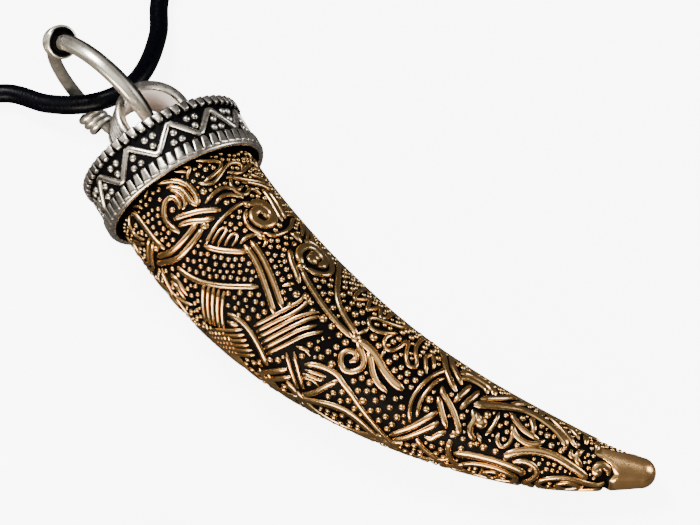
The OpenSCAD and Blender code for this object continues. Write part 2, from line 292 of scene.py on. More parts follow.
class Finish(Enum):
    """The pendant's finishes."""

    BRONZE = AgedMetal(
        "aged_bronze", (0.88, 0.51, 0.19, 1), (0.56, 0.355, 0.15, 1), (0.0012, 0.0009, 0.001, 1),
        dark_to=0.2, bright_from=0.6, polish=0.2, fleck=0.1,
    )
    TIP = PlainMetal("worn_bronze", (1.0, 0.58, 0.24, 1), (0.95, 0.52, 0.2, 1), 0.21, 0.97, 0.04)
    SILVER = AgedMetal(
        "aged_silver", (0.80, 0.74, 0.64, 1), (0.60, 0.55, 0.47, 1), (0.0014, 0.0013, 0.0017, 1),
        dark_to=0.16, bright_from=0.62, grain=0.005, spread=0.12,
    )
    # On the ring's wires the dark colour is painted shade, wherever their crest attribute is low.
    WIRE = AgedMetal(
        "silver_wire", (0.97, 0.90, 0.77, 1), (0.86, 0.79, 0.66, 1), (0.0014, 0.0013, 0.0017, 1),
        polish=0.26, metallic=0.93,
    )
    # painted reflection: the lining's warm pinkish, nearly matt tone stands in for the warm reflection on the
    # hole's silver wall
    PAINTED_REFLECTION_LINING = PlainMetal("satin_silver_painted_reflection", (0.97, 0.84, 0.76, 1), (0.93, 0.79, 0.71, 1), 0.5, 0.05)
    BARREL = PlainMetal("polished_silver", (0.96, 0.91, 0.84, 1), (0.82, 0.77, 0.69, 1), 0.24)
    LEATHER = RoundLeather("black_leather", (0.0004, 0.0005, 0.0013, 1), (0.0015, 0.0018, 0.004, 1))
    FLOOR = PaleFloor("pale_floor", (0.9, 0.9, 0.9, 1), (0.891, 0.891, 0.891, 1))


FINISHES: dict[Finish, bpy.types.Material] = {}


def finish_of(which: Finish) -> bpy.types.Material:
    """The finish's material, made the first time it is asked for."""
    if which not in FINISHES:
        FINISHES[which] = which.value.dress()
    return FINISHES[which]


# Meshes


def unit(vectors: np.ndarray) -> np.ndarray:
    """Vectors scaled to a length of one."""
    return vectors / np.maximum(np.linalg.norm(vectors, axis=-1, keepdims=True), 1e-12)


def about(angle: np.ndarray, r: float = 1.0, h: np.ndarray | float = 0.0) -> np.ndarray:
    """Points about the upright axis, by angle, radius and height."""
    angle = np.radians(angle)
    return np.stack([r * np.cos(angle), r * np.sin(angle), np.broadcast_to(h, angle.shape)], -1)


def lengths(points: np.ndarray) -> np.ndarray:
    """How far along a path each of its points lies."""
    return np.concatenate([[0], np.cumsum(np.linalg.norm(np.diff(points, axis=0), axis=1))])


def between(points: np.ndarray, i: np.ndarray, f: np.ndarray) -> np.ndarray:
    """A smooth curve through points, each time a share f of the way from point i to the next."""
    rows = np.vstack([2 * points[0] - points[1], points, 2 * points[-1] - points[-2]])
    a, b, c, d = rows[i], rows[i + 1], rows[i + 2], rows[i + 3]
    return 0.5 * (2 * b + (c - a) * f + (2 * a - 5 * b + 4 * c - d) * f**2 + (3 * b - a - 3 * c + d) * f**3)


def through(points: np.ndarray, step: float) -> np.ndarray:
    """A smooth curve through points, these among its own, in steps of about this length at most."""
    counts = [max(1, math.ceil(np.linalg.norm(side) / step)) for side in np.diff(points, axis=0)]
    i = np.repeat(np.arange(len(counts)), counts)
    f = np.concatenate([np.arange(count) / count for count in counts])
    return np.vstack([between(points, i, f[:, None]), points[-1:]])


def stand(name: str, data: bpy.types.ID) -> bpy.types.Object:
    """A new object of the scene, at the origin."""
    made = bpy.data.objects.new(name, data)
    bpy.context.scene.collection.objects.link(made)
    return made


def mesh_piece(
    name: str, points: np.ndarray, faces: list, place: Place, finish: Finish, crest: np.ndarray | None = None
) -> bpy.types.Object:
    """A smooth mesh object at the origin, with its place in its mesh.

    Args:
        name: The piece's plain name.
        points: Its points in its own frame.
        faces: Its faces, as lists of point numbers.
        place: Where its own frame sits.
        finish: What it is made of.
        crest: How far each point stands out, from 0 in a recess to 1 on a crest; on the ring's wires, how far
            it is out of painted shade.

    Returns:
        The object, with its faces pointing outwards.
    """
    mesh = bpy.data.meshes.new(name)
    mesh.from_pydata((place.put(points) * MM).tolist(), [], faces)
    mesh.update()
    turn_outwards(mesh)
    mesh.shade_smooth()
    if crest is not None:
        store(mesh, "crest", crest)
    mesh.materials.append(finish_of(finish))
    return stand(name, mesh)


def turn_outwards(mesh: bpy.types.Mesh) -> None:
    """Turns a closed mesh's faces round if the volume that they enclose is below zero."""
    mesh.calc_loop_triangles()
    corners = np.zeros(len(mesh.loop_triangles) * 3, np.int32)
    mesh.loop_triangles.foreach_get("vertices", corners)
    points = np.zeros(len(mesh.vertices) * 3)
    mesh.vertices.foreach_get("co", points)
    a, b, c = np.moveaxis(points.reshape(-1, 3)[corners.reshape(-1, 3)], 1, 0)
    if np.einsum("ij,ij->i", a, np.cross(b, c)).sum() < 0:
        mesh.flip_normals()


def store(mesh: bpy.types.Mesh, name: str, values: np.ndarray) -> None:
    """Keeps one number or one vector for each point of a mesh, under a name."""
    values = np.asarray(values, np.float32)
    kind, key = ("FLOAT_VECTOR", "vector") if values.ndim == 2 else ("FLOAT", "value")
    mesh.attributes.new(name, kind, "POINT").data.foreach_set(key, values.ravel())


def skin_faces(rings: int, sides: int, closed: bool = False) -> list:
    """Faces of a tube of rings of as many points each, with its ends filled unless it is closed."""
    faces = []
    for i in range(rings if closed else rings - 1):
        k = (i + 1) % rings
        for j in range(sides):
            m = (j + 1) % sides
            faces.append((i * sides + j, k * sides + j, k * sides + m, i * sides + m))
    if not closed:
        faces.append(tuple(range(sides)))
        faces.append(tuple(range((rings - 1) * sides, rings * sides))[::-1])
    return faces


def revolve(profile: np.ndarray, segments: int) -> tuple[np.ndarray, list]:
    """A closed outline of (radius, height) points turned round the height's axis.

    Args:
        profile: The outline, away from the axis all round.
        segments: How many steps make the full turn.

    Returns:
        The points and the faces.
    """
    turns = np.linspace(0, 2 * np.pi, segments, endpoint=False)
    r, h = profile.T
    points = np.stack([np.outer(np.cos(turns), r), np.outer(np.sin(turns), r), np.tile(h, (segments, 1))], -1)
    return points.reshape(-1, 3), skin_faces(segments, len(profile), closed=True)


def soften(outline: list, bevel: float, steps: int = 3) -> np.ndarray:
    """A closed outline with its corners rounded off.

    Args:
        outline: Its corner points.
        bevel: How far along each side a corner's rounding reaches.
        steps: How many points more each rounding has.

    Returns:
        The rounded outline.
    """
    points = np.asarray(outline, float)
    made = []
    for before, here, after in zip(np.roll(points, 1, 0), points, np.roll(points, -1, 0)):
        a, b = (
            here + unit(other - here) * min(bevel, np.linalg.norm(other - here) * 0.45)
            for other in (before, after)
        )
        for f in np.linspace(0, 1, steps + 1):
            made.append((1 - f) ** 2 * a + 2 * f * (1 - f) * here + f**2 * b)
    return np.array(made)


def sweep(
    path: np.ndarray, ups: np.ndarray, half_w: np.ndarray | float, half_h: np.ndarray | float, sides: int
) -> np.ndarray:
    """Rings of points round a path, each an ellipse across it.

    Args:
        path: The middle of each ring.
        ups: The direction of half_h, one for all rings or one for each.
        half_w: Half of the rings' width.
        half_h: Half of the rings' height.
        sides: How many points each ring has.

    Returns:
        The points, as rings by sides by three.
    """
    way = unit(np.gradient(path, axis=0))
    across = unit(np.cross(ups, way))
    up = np.cross(way, across)
    angle = np.linspace(0, 2 * np.pi, sides, endpoint=False)
    w, h = (np.broadcast_to(half, len(path))[:, None] for half in (half_w, half_h))
    return (
        path[:, None] + (w * np.cos(angle))[..., None] * across[:, None]
        + (h * np.sin(angle))[..., None] * up[:, None]
    )


# Geometry Nodes


class Tree(Graph):
    """A Geometry Nodes tree under construction."""

    def __init__(self, name: str, sizes: dict[str, float]) -> None:
        """Starts a tree with a geometry input, a material input and one named number for each size."""
        super().__init__(bpy.data.node_groups.new(name, "GeometryNodeTree"))
        face = self.tree.interface
        face.new_socket("Geometry", in_out="INPUT", socket_type="NodeSocketGeometry")
        for size, value in sizes.items():
            face.new_socket(size, in_out="INPUT", socket_type="NodeSocketFloat").default_value = value
        face.new_socket("Finish", in_out="INPUT", socket_type="NodeSocketMaterial")
        face.new_socket("Geometry", in_out="OUTPUT", socket_type="NodeSocketGeometry")
        self.inputs = self.tree.nodes.new("NodeGroupInput").outputs

    def named(self, name: str, kind: str = "FLOAT_VECTOR") -> bpy.types.NodeSocket:
        """The output that reads a named attribute."""
        outputs = self.node("GeometryNodeInputNamedAttribute", {"Name": name}, data_type=kind)
        return next(socket for socket in outputs if socket.enabled)

    def parts(self) -> bpy.types.NodeOutputs:
        """The X, Y and Z of each point's position."""
        return self.node("ShaderNodeSeparateXYZ", {"Vector": self.node("GeometryNodeInputPosition")[0]})

    def vector(self, **parts) -> bpy.types.NodeSocket:
        """The vector that X, Y and Z make."""
        return self.node("ShaderNodeCombineXYZ", parts)[0]

    def moved(self, shape: bpy.types.NodeSocket, **parts) -> bpy.types.NodeSocket:
        """The shape with each of its points at the position that X, Y and Z make."""
        return self.node("GeometryNodeSetPosition", {"Geometry": shape, "Position": self.vector(**parts)})[0]

    def crest(
        self, shape: bpy.types.NodeSocket, axis: str, full: object, width: object = None,
        edge: float = 0.46, edge_slope: float = 5.0,
    ) -> bpy.types.NodeSocket:
        """Stores how far each point stands out along an axis.

        Args:
            shape: The shape that keeps the values.
            axis: The axis, by its letter.
            full: The distance that counts as 1.
            width: The shape's width, if its sides are dark.
            edge: Half of the share of the width that isn't quite dark.
            edge_slope: How fast the sides brighten from there.

        Returns:
            The shape.
        """
        parts = self.parts()
        share = self.sum("DIVIDE", parts[axis], full)
        if width is not None:
            across = self.sum("DIVIDE", self.sum("ABSOLUTE", parts["Y"], 0.0), width)
            inside = self.sum("MULTIPLY", self.sum("SUBTRACT", edge, across), edge_slope)
            share = self.sum("MINIMUM", share, inside)
        share = self.node("ShaderNodeClamp", {"Value": share})[0]
        links = {"Geometry": shape, "Name": "crest", "Value": share}
        return self.node("GeometryNodeStoreNamedAttribute", links, data_type="FLOAT", domain="POINT")[0]

    def close(self, kind: str, **links) -> bpy.types.NodeTree:
        """Ends the tree with a last node of its own, Realize Instances and Set Material."""
        made = self.node(kind, {key.replace("_", " "): value for key, value in links.items()})[0]
        real = self.node("GeometryNodeRealizeInstances", {"Geometry": made})[0]
        smooth = self.node("GeometryNodeSetShadeSmooth", {"Geometry": real})[0]
        dressed = {"Geometry": smooth, "Material": self.inputs["Finish"]}
        done = self.node("GeometryNodeSetMaterial", dressed)[0]
        self.tree.links.new(done, self.tree.nodes.new("NodeGroupOutput").inputs[0])
        return self.tree

    def scatter(self, **links) -> bpy.types.NodeTree:
        """Ends the tree with an Instance on each point of the carrier, turned as Rotation says."""
        points = self.node("GeometryNodeMeshToPoints", {"Mesh": self.inputs["Geometry"]})[0]
        return self.close("GeometryNodeInstanceOnPoints", Points=points, **links)


def bands_tree() -> bpy.types.NodeTree:
    """Round-topped bands along paths on a surface, whose points carry 'up' and 'swell'."""
    tree = Tree("bands_on_a_surface", {"Width": 0.0005, "Relief": 0.0003, "Flatness": 1.25})
    curve = tree.node("GeometryNodeMeshToCurve", {"Mesh": tree.inputs["Geometry"]})[0]
    upright = {"Curve": curve, "Normal": tree.named("up")}
    curve = tree.node("GeometryNodeSetCurveNormal", upright, mode="FREE")[0]
    profile = tree.node("GeometryNodeCurvePrimitiveCircle", {"Resolution": 12, "Radius": 1.0})[0]
    part = tree.parts()
    height = tree.sum("MINIMUM", tree.sum("MULTIPLY", part["X"], tree.inputs["Flatness"]), 1.0)
    half = tree.sum("MULTIPLY", tree.inputs["Width"], 0.5)
    profile = tree.moved(
        profile,
        X=tree.sum("MULTIPLY", height, tree.inputs["Relief"]),
        Y=tree.sum("MULTIPLY", part["Y"], half),
    )
    return tree.close(
        "GeometryNodeCurveToMesh", Curve=curve, Profile_Curve=tree.crest(profile, "X", tree.inputs["Relief"]),
        Scale=tree.named("swell", "FLOAT"), Fill_Caps=True,
    )


def pellets_tree() -> bpy.types.NodeTree:
    """Domes on points that carry 'up' and 'girth', which is their half width and height."""
    tree = Tree("pellets_on_a_surface", {"Sides": 10.0})
    sides = tree.node("FunctionNodeFloatToInt", {"Float": tree.inputs["Sides"]})[0]
    ball = tree.node("GeometryNodeMeshUVSphere", {"Segments": sides, "Rings": 5, "Radius": 1.0})[0]
    aim = tree.node("FunctionNodeAlignRotationToVector", {"Vector": tree.named("up")}, axis="Z")[0]
    return tree.scatter(Instance=tree.crest(ball, "Z", 1.0), Rotation=aim, Scale=tree.named("girth"))


def blocks_tree() -> bpy.types.NodeTree:
    """Rounded blocks on points that carry 'out' and 'along', slanted about 'out' and tapered upwards."""
    sizes = {"Slant": 0.1, "Depth": 0.001, "Width": 0.001, "Height": 0.001, "Taper": 0.2}
    tree = Tree("blocks_round_a_rim", sizes)
    depth, width, height = (tree.inputs[size] for size in ("Depth", "Width", "Height"))
    size = tree.vector(X=depth, Y=width, Z=height)
    counts = {"Vertices X": 2, "Vertices Y": 3, "Vertices Z": 4}
    block = tree.node("GeometryNodeMeshCube", {"Size": size, **counts})[0]
    block = tree.node("GeometryNodeSubdivisionSurface", {"Mesh": block, "Level": 2, "Edge Crease": 0.25})[0]
    block = tree.crest(block, "X", tree.sum("MULTIPLY", depth, 0.66), width)
    part = tree.parts()
    above = tree.sum("MULTIPLY", tree.sum("DIVIDE", part["Z"], height), tree.inputs["Taper"])
    narrow = tree.sum("MULTIPLY", part["Y"], tree.sum("SUBTRACT", 1.0, above))
    block = tree.moved(block, X=part["X"], Y=narrow, Z=part["Z"])
    slant = tree.vector(X=tree.inputs["Slant"])
    block = tree.node("GeometryNodeTransform", {"Geometry": block, "Rotation": slant})[0]
    axes = {"Primary Axis": tree.named("out"), "Secondary Axis": tree.named("along")}
    aim = tree.node("FunctionNodeAxesToRotation", axes, primary_axis="X", secondary_axis="Y")[0]
    return tree.scatter(Instance=block, Rotation=aim)


def grow(
    name: str,
    tree: bpy.types.NodeTree,
    place: Place,
    finish: Finish,
    points: np.ndarray,
    carried: dict[str, np.ndarray],
    edges: list | tuple = (),
    **sizes: float,
) -> bpy.types.Object:
    """Runs a tree on a carrier of points and keeps the result as a plain mesh.

    Args:
        name: The piece's plain name.
        tree: The Geometry Nodes tree.
        place: Where the carrier's own frame sits.
        finish: What the piece is made of.
        points: The carrier's points in its own frame.
        carried: What the points carry: directions in the row frame, lengths in metres, or shares.
        edges: The carrier's edges.
        sizes: The tree's named numbers.

    Returns:
        The piece.
    """
    mesh = bpy.data.meshes.new(name + "_carrier")
    mesh.from_pydata((place.put(points) * MM).tolist(), edges, [])
    for key, values in carried.items():
        store(mesh, key, values)
    carrier = stand(name + "_carrier", mesh)
    modifier = carrier.modifiers.new("grow", "NODES")
    modifier.node_group = tree
    given = {**sizes, "Finish": finish_of(finish)}
    for item in tree.interface.items_tree:
        if item.in_out == "INPUT" and item.name in given:
            modifier[item.identifier] = given[item.name]
    graph = bpy.context.evaluated_depsgraph_get()
    made = bpy.data.meshes.new_from_object(carrier.evaluated_get(graph), depsgraph=graph)
    bpy.data.objects.remove(carrier)
    made.name = name
    turn_outwards(made)
    return stand(name, made)


# Camera and cord


@dataclass
class View:
    """The camera, at the photo's angle."""

    target: tuple[float, float, float] = (0.66, 3.4, 0.0)
    elevation: float = 63.0
    distance: float = 450.0
    pixels_per_mm: float = 8.8
    picture_w: int = 700
    sensor_mm: float = 36.0

    def build(self) -> None:
        """Sets up the camera."""
        data = bpy.data.cameras.new("camera")
        data.sensor_width = self.sensor_mm
        data.lens = self.pixels_per_mm * self.distance / self.picture_w * self.sensor_mm
        data.clip_start, data.clip_end = 0.01, 10.0
        camera = stand("camera", data)
        tilt = math.radians(self.elevation)
        back = Vector((0.0, -math.cos(tilt), math.sin(tilt)))
        camera.location = (Vector(self.target) + back * self.distance) * MM
        camera.rotation_euler = back.to_track_quat("Z", "Y").to_euler()
        bpy.context.scene.camera = camera


@dataclass
class NeckCord:
    """The leather cord, one open length from clasp end to clasp end."""

    diameter: float = 2.2
    sides: int = 20
    step: float = 0.8
    route: tuple = (
        (52.4, -22, 2.2), (52.4, -27.5, 2.2), (50.2, -36.8, 1), (41.8, -43.4, 1), (32.6, -41, 1),
        (24.4, -33.8, 1), (13.8, -34, 1), (5.6, -41.6, 1), (-4.8, -43.8, 1), (-13.6, -37, 1), (-23, -33, 1),
        (-32.6, -38, 1), (-42, -43.8, 1), (-51.6, -38, 1), (-53.4, -27.4, 1), (-46.6, -18.2, 1),
        (-44.4, -7.6, 1), (-50.4, 2, 1), (-53.6, 12.4, 1), (-48.2, 21.8, 1), (-39.7, 24.1, 1.5),
        (-34.1, 21.9, 3), (-29.4, 20.75, 5), (-25.4, 22, 5.5), (-22.95, 25.6, 4.3), (-21.6, 31.6, 2.1),
        (-21.1, 38.4, 1), (-15.4, 45.2, 1), (-5.2, 46, 1), (4.4, 40.6, 1), (15, 41.2, 1), (25.2, 46.2, 1),
        (36.4, 43.2, 1), (47.6, 41.6, 1), (53.4, 33.2, 1), (50.4, 24.4, 1), (45, 15, 1), (46.8, 4.2, 1),
        (52.4, -4.4, 2.2), (52.4, -10, 2.2),
    )

    def line(self) -> np.ndarray:
        """The cord's middle, nowhere lower than its half thickness."""
        path = through(np.array(self.route, float), self.step) + CENTRED
        path[:, 2] = np.maximum(path[:, 2], self.diameter / 2)
        return path

    def build(self, clasp: bpy.types.Object) -> bpy.types.Object:
        path = self.line()
        points = sweep(path, UP, self.diameter / 2, self.diameter / 2, self.sides).reshape(-1, 3)
        cord = mesh_piece("leather_cord", points, skin_faces(len(path), self.sides), ON_FLOOR, Finish.LEATHER)
        self.unroll(cord.data, path)
        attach(cord, "root")
        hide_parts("cord")
        return cord

    def unroll(self, mesh: bpy.types.Mesh, path: np.ndarray) -> None:
        """Gives the tube a UV map: once round it, and the millimetres along it."""
        layer = mesh.uv_layers.new(name="along_cord").data
        along = lengths(path)
        for face in mesh.polygons:
            across = [mesh.loops[i].vertex_index % self.sides for i in face.loop_indices]
            wraps = len(across) == 4 and max(across) - min(across) > 1
            for i, side in zip(face.loop_indices, across):
                ring = mesh.loops[i].vertex_index // self.sides
                layer[i].uv = ((self.sides if wraps and side == 0 else side) / self.sides, along[ring])


# Fang


class Track(Enum):
    """The widths of the raised lines."""

    SCROLL = 1.14
    RIBBON = 0.98
    BAND = 0.72
    LINE = 0.5
    FINE = 0.38


@dataclass(frozen=True)
class Stroke:
    """A raised line of the ornament on the unrolled upper face, or several that are woven as one.

    Each line gives the distance and the angle of its points in turn, and has so many parallel strands.
    """

    track: Track
    lines: tuple[tuple[float, ...], ...]
    strands: int = 1
    pitch: float = 0.66


def drawn(track: Track, *lines: tuple[float, ...]) -> list[Stroke]:
    """A stroke of its own for each line."""
    return [Stroke(track, (line,)) for line in lines]


# Short names for the table, which gives each point's distance and angle
R, B, L, F = Track.RIBBON, Track.BAND, Track.LINE, Track.FINE
STROKES = (
    # beside the lip, on the hollow side
    *drawn(
        L, (-1.4, 88, -0.9, 82, -0.4, 74, 0.1, 71, 0.7, 74, 1.15, 83, 1.35, 92), (1.9, 57, 1.3, 53,
        0.7, 56, 0.5, 62, 0.8, 69, 1.5, 78, 1.95, 86, 1.6, 92, 1.1, 96), (1.0, 38, 1.4, 48, 1.95, 56,
        2.0, 64, 1.4, 70), (4.4, 36, 3.7, 49, 3.1, 60, 2.5, 67, 2.0, 74), (3.6, 34, 2.9, 46, 2.4, 53),
        (5.4, 36, 4.5, 46, 3.8, 56, 3.3, 64), (5.6, 55, 4.9, 58, 4.5, 62, 4.9, 68, 4.7, 73, 3.6, 76,
        3.0, 83, 3.1, 92, 3.5, 101), (2.3, 71, 3.2, 75, 4.0, 73, 3.8, 66), (5.2, 73, 4.2, 80, 3.85, 88,
        4.2, 95), (-1.4, 33, -0.6, 28, 0.6, 30, 1.6, 26),
    ),
    # bars and lines towards the hollow side
    *drawn(B, (4.9, 41, 6.9, 42.5, 8.4, 46, 9.7, 50), (4.9, 48, 6.7, 49.5, 8.4, 53, 9.9, 56)),
    *drawn(L, (6.8, 24, 7.0, 38), (8.0, 22, 8.2, 40), (9.2, 24, 9.3, 45)),
    Stroke(L, ((11.0, 26, 12.2, 36, 13.2, 46),), 3, 0.72),
    *drawn(B, (-1.3, 18, 12.0, 16, 24.0, 19, 36.0, 18, 48.0, 22, 55.0, 26)),
    # round the first scroll
    *drawn(
        L, (6.6, 77, 7.3, 83, 8.3, 85.5, 9.3, 84, 10.2, 80), (10.0, 79, 10.9, 75, 11.2, 67, 11.2, 60,
        10.9, 52, 10.3, 45, 9.9, 38),
    ),
    *drawn(R, (10.9, 55.5, 12.2, 56, 13.3, 55.5)),
    *drawn(
        L, (10.4, 82, 11.0, 83, 11.3, 88), (9.8, 84, 9.3, 92, 9.4, 100), (5.7, 74, 5.75, 86, 6.05, 100,
        6.5, 111, 7.0, 120),
    ),
    *drawn(
        F, (7.4, 116, 7.05, 110, 6.85, 104, 7.1, 100.5, 7.45, 103, 7.7, 109, 8.0, 114), (8.5, 110,
        8.15, 104, 8.1, 99.5, 8.4, 97, 8.8, 100, 9.05, 106),
    ),
    # curls and hook at the lip
    *drawn(
        B, (-1.3, 123, -1.0, 117, -0.4, 110, 0.5, 104.5, 1.5, 103, 2.5, 103.6, 3.0, 106, 2.6, 108.6,
        1.6, 108.8, 0.7, 110, 0.1, 114, -0.3, 118.6),
    ),
    *drawn(L, (0.1, 117, 0.8, 113.6, 1.7, 112.4, 2.4, 114.2, 2.5, 118)),
    *drawn(
        B, (2.3, 119.5, 1.8, 117.4, 1.1, 117.4, 0.65, 121, 0.8, 126, 1.4, 131, 2.1, 133.6, 3.1, 133.4,
        4.2, 130.8),
    ),
    *drawn(L, (-1.4, 99, -0.9, 95.5, -0.5, 98, 0.1, 101.5), (-1.4, 107, -0.9, 101.5, -0.5, 98.5)),
    *drawn(B, (-1.2, 160, -0.7, 156, 0.1, 154.2, 1.6, 153.6, 3.0, 152.8, 4.2, 151)),
    *drawn(
        L, (-1.0, 162, -0.5, 168, 0.3, 170.6, 1.1, 168, 1.8, 163), (-1.4, 133, -0.9, 139), (-1.4, 154,
        -0.9, 148, -0.2, 145.5),
    ),
    Stroke(L, ((2.4, 156, 2.7, 162, 3.2, 171, 3.8, 180),), 2, 0.62),
    *drawn(L, (2.0, 166, 1.3, 174, 0.4, 180)),
    # bars through the hook
    *drawn(
        B, (5.1, 94.5, 4.5, 100, 3.75, 109, 3.1, 120, 2.75, 128), (5.4, 102, 5.0, 109, 4.4, 115, 3.9, 122,
        3.6, 128), (4.6, 114, 4.85, 122, 5.0, 131, 5.0, 141, 4.8, 149, 4.3, 157, 4.0, 163), (5.5, 114,
        5.75, 121, 5.95, 131, 5.95, 142, 5.6, 151, 4.95, 160, 4.3, 169),
    ),
    # field of pellets with its borders
    *drawn(
        B, (7.0, 122, 8.3, 116, 9.6, 107.5, 10.6, 100), (6.4, 152, 7.8, 149.4, 9.3, 144, 10.6, 137,
        11.8, 129.5, 13.0, 121, 14.1, 113.3), (9.9, 92, 11.7, 93.8, 13.4, 97.6, 15.2, 103.4, 17.5, 113),
        (9.8, 98, 11.3, 99.4, 12.9, 103, 14.3, 108, 15.8, 114, 17.2, 121), (6.2, 163, 7.4, 162, 8.8, 166),
        (6.6, 169, 7.8, 168, 8.8, 172),
    ),
    *drawn(L, (5.0, 168, 6.0, 174, 7.4, 180, 8.6, 176, 9.8, 170)),
    # second scroll and what runs on from it
    *drawn(
        B, (13.1, 67, 12.95, 57, 13.3, 50, 14.2, 43.5, 15.6, 40.6, 17.0, 44, 18.0, 51, 18.35, 58.5,
        18.1, 65.5, 17.2, 71, 16.1, 74),
    ),
    *drawn(
        R, (15.5, 73, 14.5, 69.5, 14.05, 63, 14.05, 55, 14.6, 49, 15.7, 46.4, 16.8, 50, 17.1, 57,
        16.8, 62),
    ),
    *drawn(
        B, (13.1, 67, 13.6, 73.5, 14.6, 79, 15.8, 83, 17.0, 88), (16.0, 77.5, 17.3, 81.7, 19.0, 85.8,
        21.0, 90.2, 23.2, 94, 25.2, 96),
    ),
    *drawn(L, (17.0, 87.5, 16.4, 93.5, 15.9, 99.5)),
    *drawn(
        B, (17.6, 26, 18.0, 35, 18.6, 45, 19.4, 55, 20.3, 66.5, 21.2, 75, 22.3, 81, 23.8, 86.5, 25.5, 91),
    ),
    # woven panels
    Stroke(L, ((10.7, 139, 11.7, 153, 12.9, 168),), 5, 0.6),
    Stroke(L, ((16.7, 157, 15.0, 172, 13.2, 190),), 6, 0.6),
    Stroke(
        L,
        (
            (16.35, 140, 17.2, 124, 18.0, 108, 18.4, 98, 18.2, 91),
            (16.85, 142.7, 17.75, 126, 18.6, 112, 19.0, 100, 18.95, 91),
            (17.35, 145.5, 18.25, 129, 19.2, 112, 20.1, 101, 20.7, 96),
            (17.9, 148.4, 18.8, 131, 19.75, 115, 20.5, 104, 21.1, 98.5),
            (18.4, 151.2, 19.35, 134, 20.3, 118, 21.4, 106),
            (18.9, 154, 19.95, 137, 21.0, 120, 22.3, 107),
        ),
    ),
    *drawn(
        B, (13.4, 147.5, 14.6, 144.8, 16.2, 146, 18.0, 153.5, 19.5, 165), (13.8, 154, 15.0, 151.4,
        16.4, 156, 17.8, 163.5, 19.0, 171),
    ),
    *drawn(L, (21.1, 136, 22.3, 147, 23.8, 164), (20.5, 141, 21.7, 152, 23.3, 168)),
    *drawn(B, (21.4, 155, 20.1, 169, 18.8, 184), (22.1, 160, 20.9, 173, 19.8, 186)),
    *drawn(R, (21.9, 168, 22.8, 173, 23.6, 179)),
    *drawn(
        L, (22.9, 113, 22.3, 109, 21.9, 104), (22.6, 112, 23.3, 108), (21.0, 131, 22.0, 128.5, 22.7, 131),
    ),
    # lower borders
    *drawn(
        B, (22.7, 140.5, 23.6, 135, 24.9, 131.8, 26.1, 132, 27.0, 136, 28.2, 141, 29.6, 149.5, 31.1, 159,
        32.8, 171, 35.0, 188), (26.4, 136, 25.75, 146, 25.25, 155, 24.6, 165, 23.8, 174, 22.9, 184),
    ),
    *drawn(
        R, (23.2, 187, 24.5, 177, 25.7, 170, 27.0, 164.6, 28.4, 162.6, 29.8, 166, 31.2, 173.5, 33.4, 188),
    ),
    *drawn(
        L, (23.0, 144.5, 24.0, 141.8, 25.2, 139), (23.0, 149, 24.0, 146.5, 24.8, 145, 25.0, 140),
        (23.2, 156, 23.4, 151.5, 24.3, 149, 25.0, 152),
    ),
    # third scroll beside the knot
    *drawn(
        B, (25.9, 97, 27.0, 102.5, 27.7, 109, 27.7, 116, 27.1, 122.5, 26.3, 124.3, 25.6, 119.5, 25.3, 113,
        25.7, 107.5, 26.4, 106, 26.8, 110, 26.4, 115.5),
    ),
    *drawn(L, (25.2, 95, 24.9, 103)),
    *drawn(R, (25.8, 93.8, 27.4, 94.6, 28.7, 98.5, 30.0, 105, 31.4, 110, 32.7, 112)),
    *drawn(B, (27.4, 98, 28.2, 104, 29.0, 112, 30.0, 118.6, 31.3, 122)),
    *drawn(L, (28.8, 86, 28.9, 95)),
    # loops and points on the hollow side
    *drawn(
        L, (22.3, 30, 22.2, 46, 22.3, 57, 22.6, 62, 23.2, 55, 23.75, 46.5, 24.05, 53, 24.45, 62.5,
        24.8, 56, 25.3, 46, 25.8, 53, 26.3, 58.5, 26.7, 51, 26.8, 30), (29.4, 30, 28.7, 48, 27.3, 57.5,
        25.9, 63.5, 25.35, 69.5, 25.8, 75.5, 26.6, 76.6, 27.5, 73, 28.3, 67, 28.8, 61.5), (28.6, 66,
        28.15, 74, 28.25, 81, 28.9, 85.5, 29.6, 82, 30.0, 73, 30.1, 61), (25.95, 77.5, 25.8, 84, 25.4, 90),
        (30.35, 60, 30.7, 70, 31.1, 80, 31.9, 87.4, 32.6, 84.5, 32.4, 78, 31.8, 70, 31.4, 58, 31.4, 30),
        (34.0, 84, 33.4, 75, 33.0, 66, 33.4, 58.5, 34.0, 65, 34.4, 74),
    ),
    # from the hollow side down to the crossing
    *drawn(
        B, (34.0, 28, 34.3, 39, 34.9, 51, 35.7, 66, 36.8, 77.5, 37.8, 85), (35.3, 28, 35.6, 39, 36.0, 51,
        36.9, 62, 38.0, 73),
    ),
    *drawn(
        L, (35.3, 64, 35.4, 71, 34.9, 79, 34.4, 90, 34.05, 103, 33.95, 114, 34.15, 125, 34.8, 140),
        (35.9, 78, 35.3, 88, 34.95, 102, 34.85, 115, 35.2, 131),
    ),
    *drawn(
        B, (36.2, 88, 36.5, 94, 37.3, 99, 38.3, 107, 39.1, 116, 39.7, 125, 39.8, 132), (36.3, 101,
        37.0, 110, 37.8, 120, 38.5, 129),
    ),
    *drawn(R, (38.4, 128, 39.0, 132.5, 39.8, 134)),
    *drawn(
        B, (38.6, 133, 37.9, 141, 37.5, 149, 36.8, 149.5), (36.9, 116, 36.3, 126, 35.7, 136, 34.9, 148.5,
        34.2, 157.5, 33.5, 168), (37.5, 126, 36.8, 137, 36.0, 148.5, 35.1, 161, 34.0, 173), (36.1, 156,
        37.0, 166, 38.4, 176, 39.9, 188), (39.6, 133, 39.4, 143, 39.5, 155, 40.0, 167, 40.8, 178,
        41.7, 190),
    ),
    *drawn(R, (37.2, 56, 38.0, 49, 39.3, 45.5, 40.6, 46.5, 41.5, 53.5, 41.7, 61)),
    *drawn(
        B, (37.5, 64, 38.4, 58.8, 39.7, 56.8, 40.6, 59, 41.0, 65), (38.9, 67, 38.6, 80, 38.3, 89,
        38.1, 98), (40.0, 68, 39.7, 81, 39.3, 91, 39.0, 102), (44.2, 30, 43.6, 44, 42.8, 57, 41.6, 69,
        40.5, 78),
    ),
    *drawn(L, (37.0, 79, 36.6, 86)),
    # long arcs towards the tip
    *drawn(
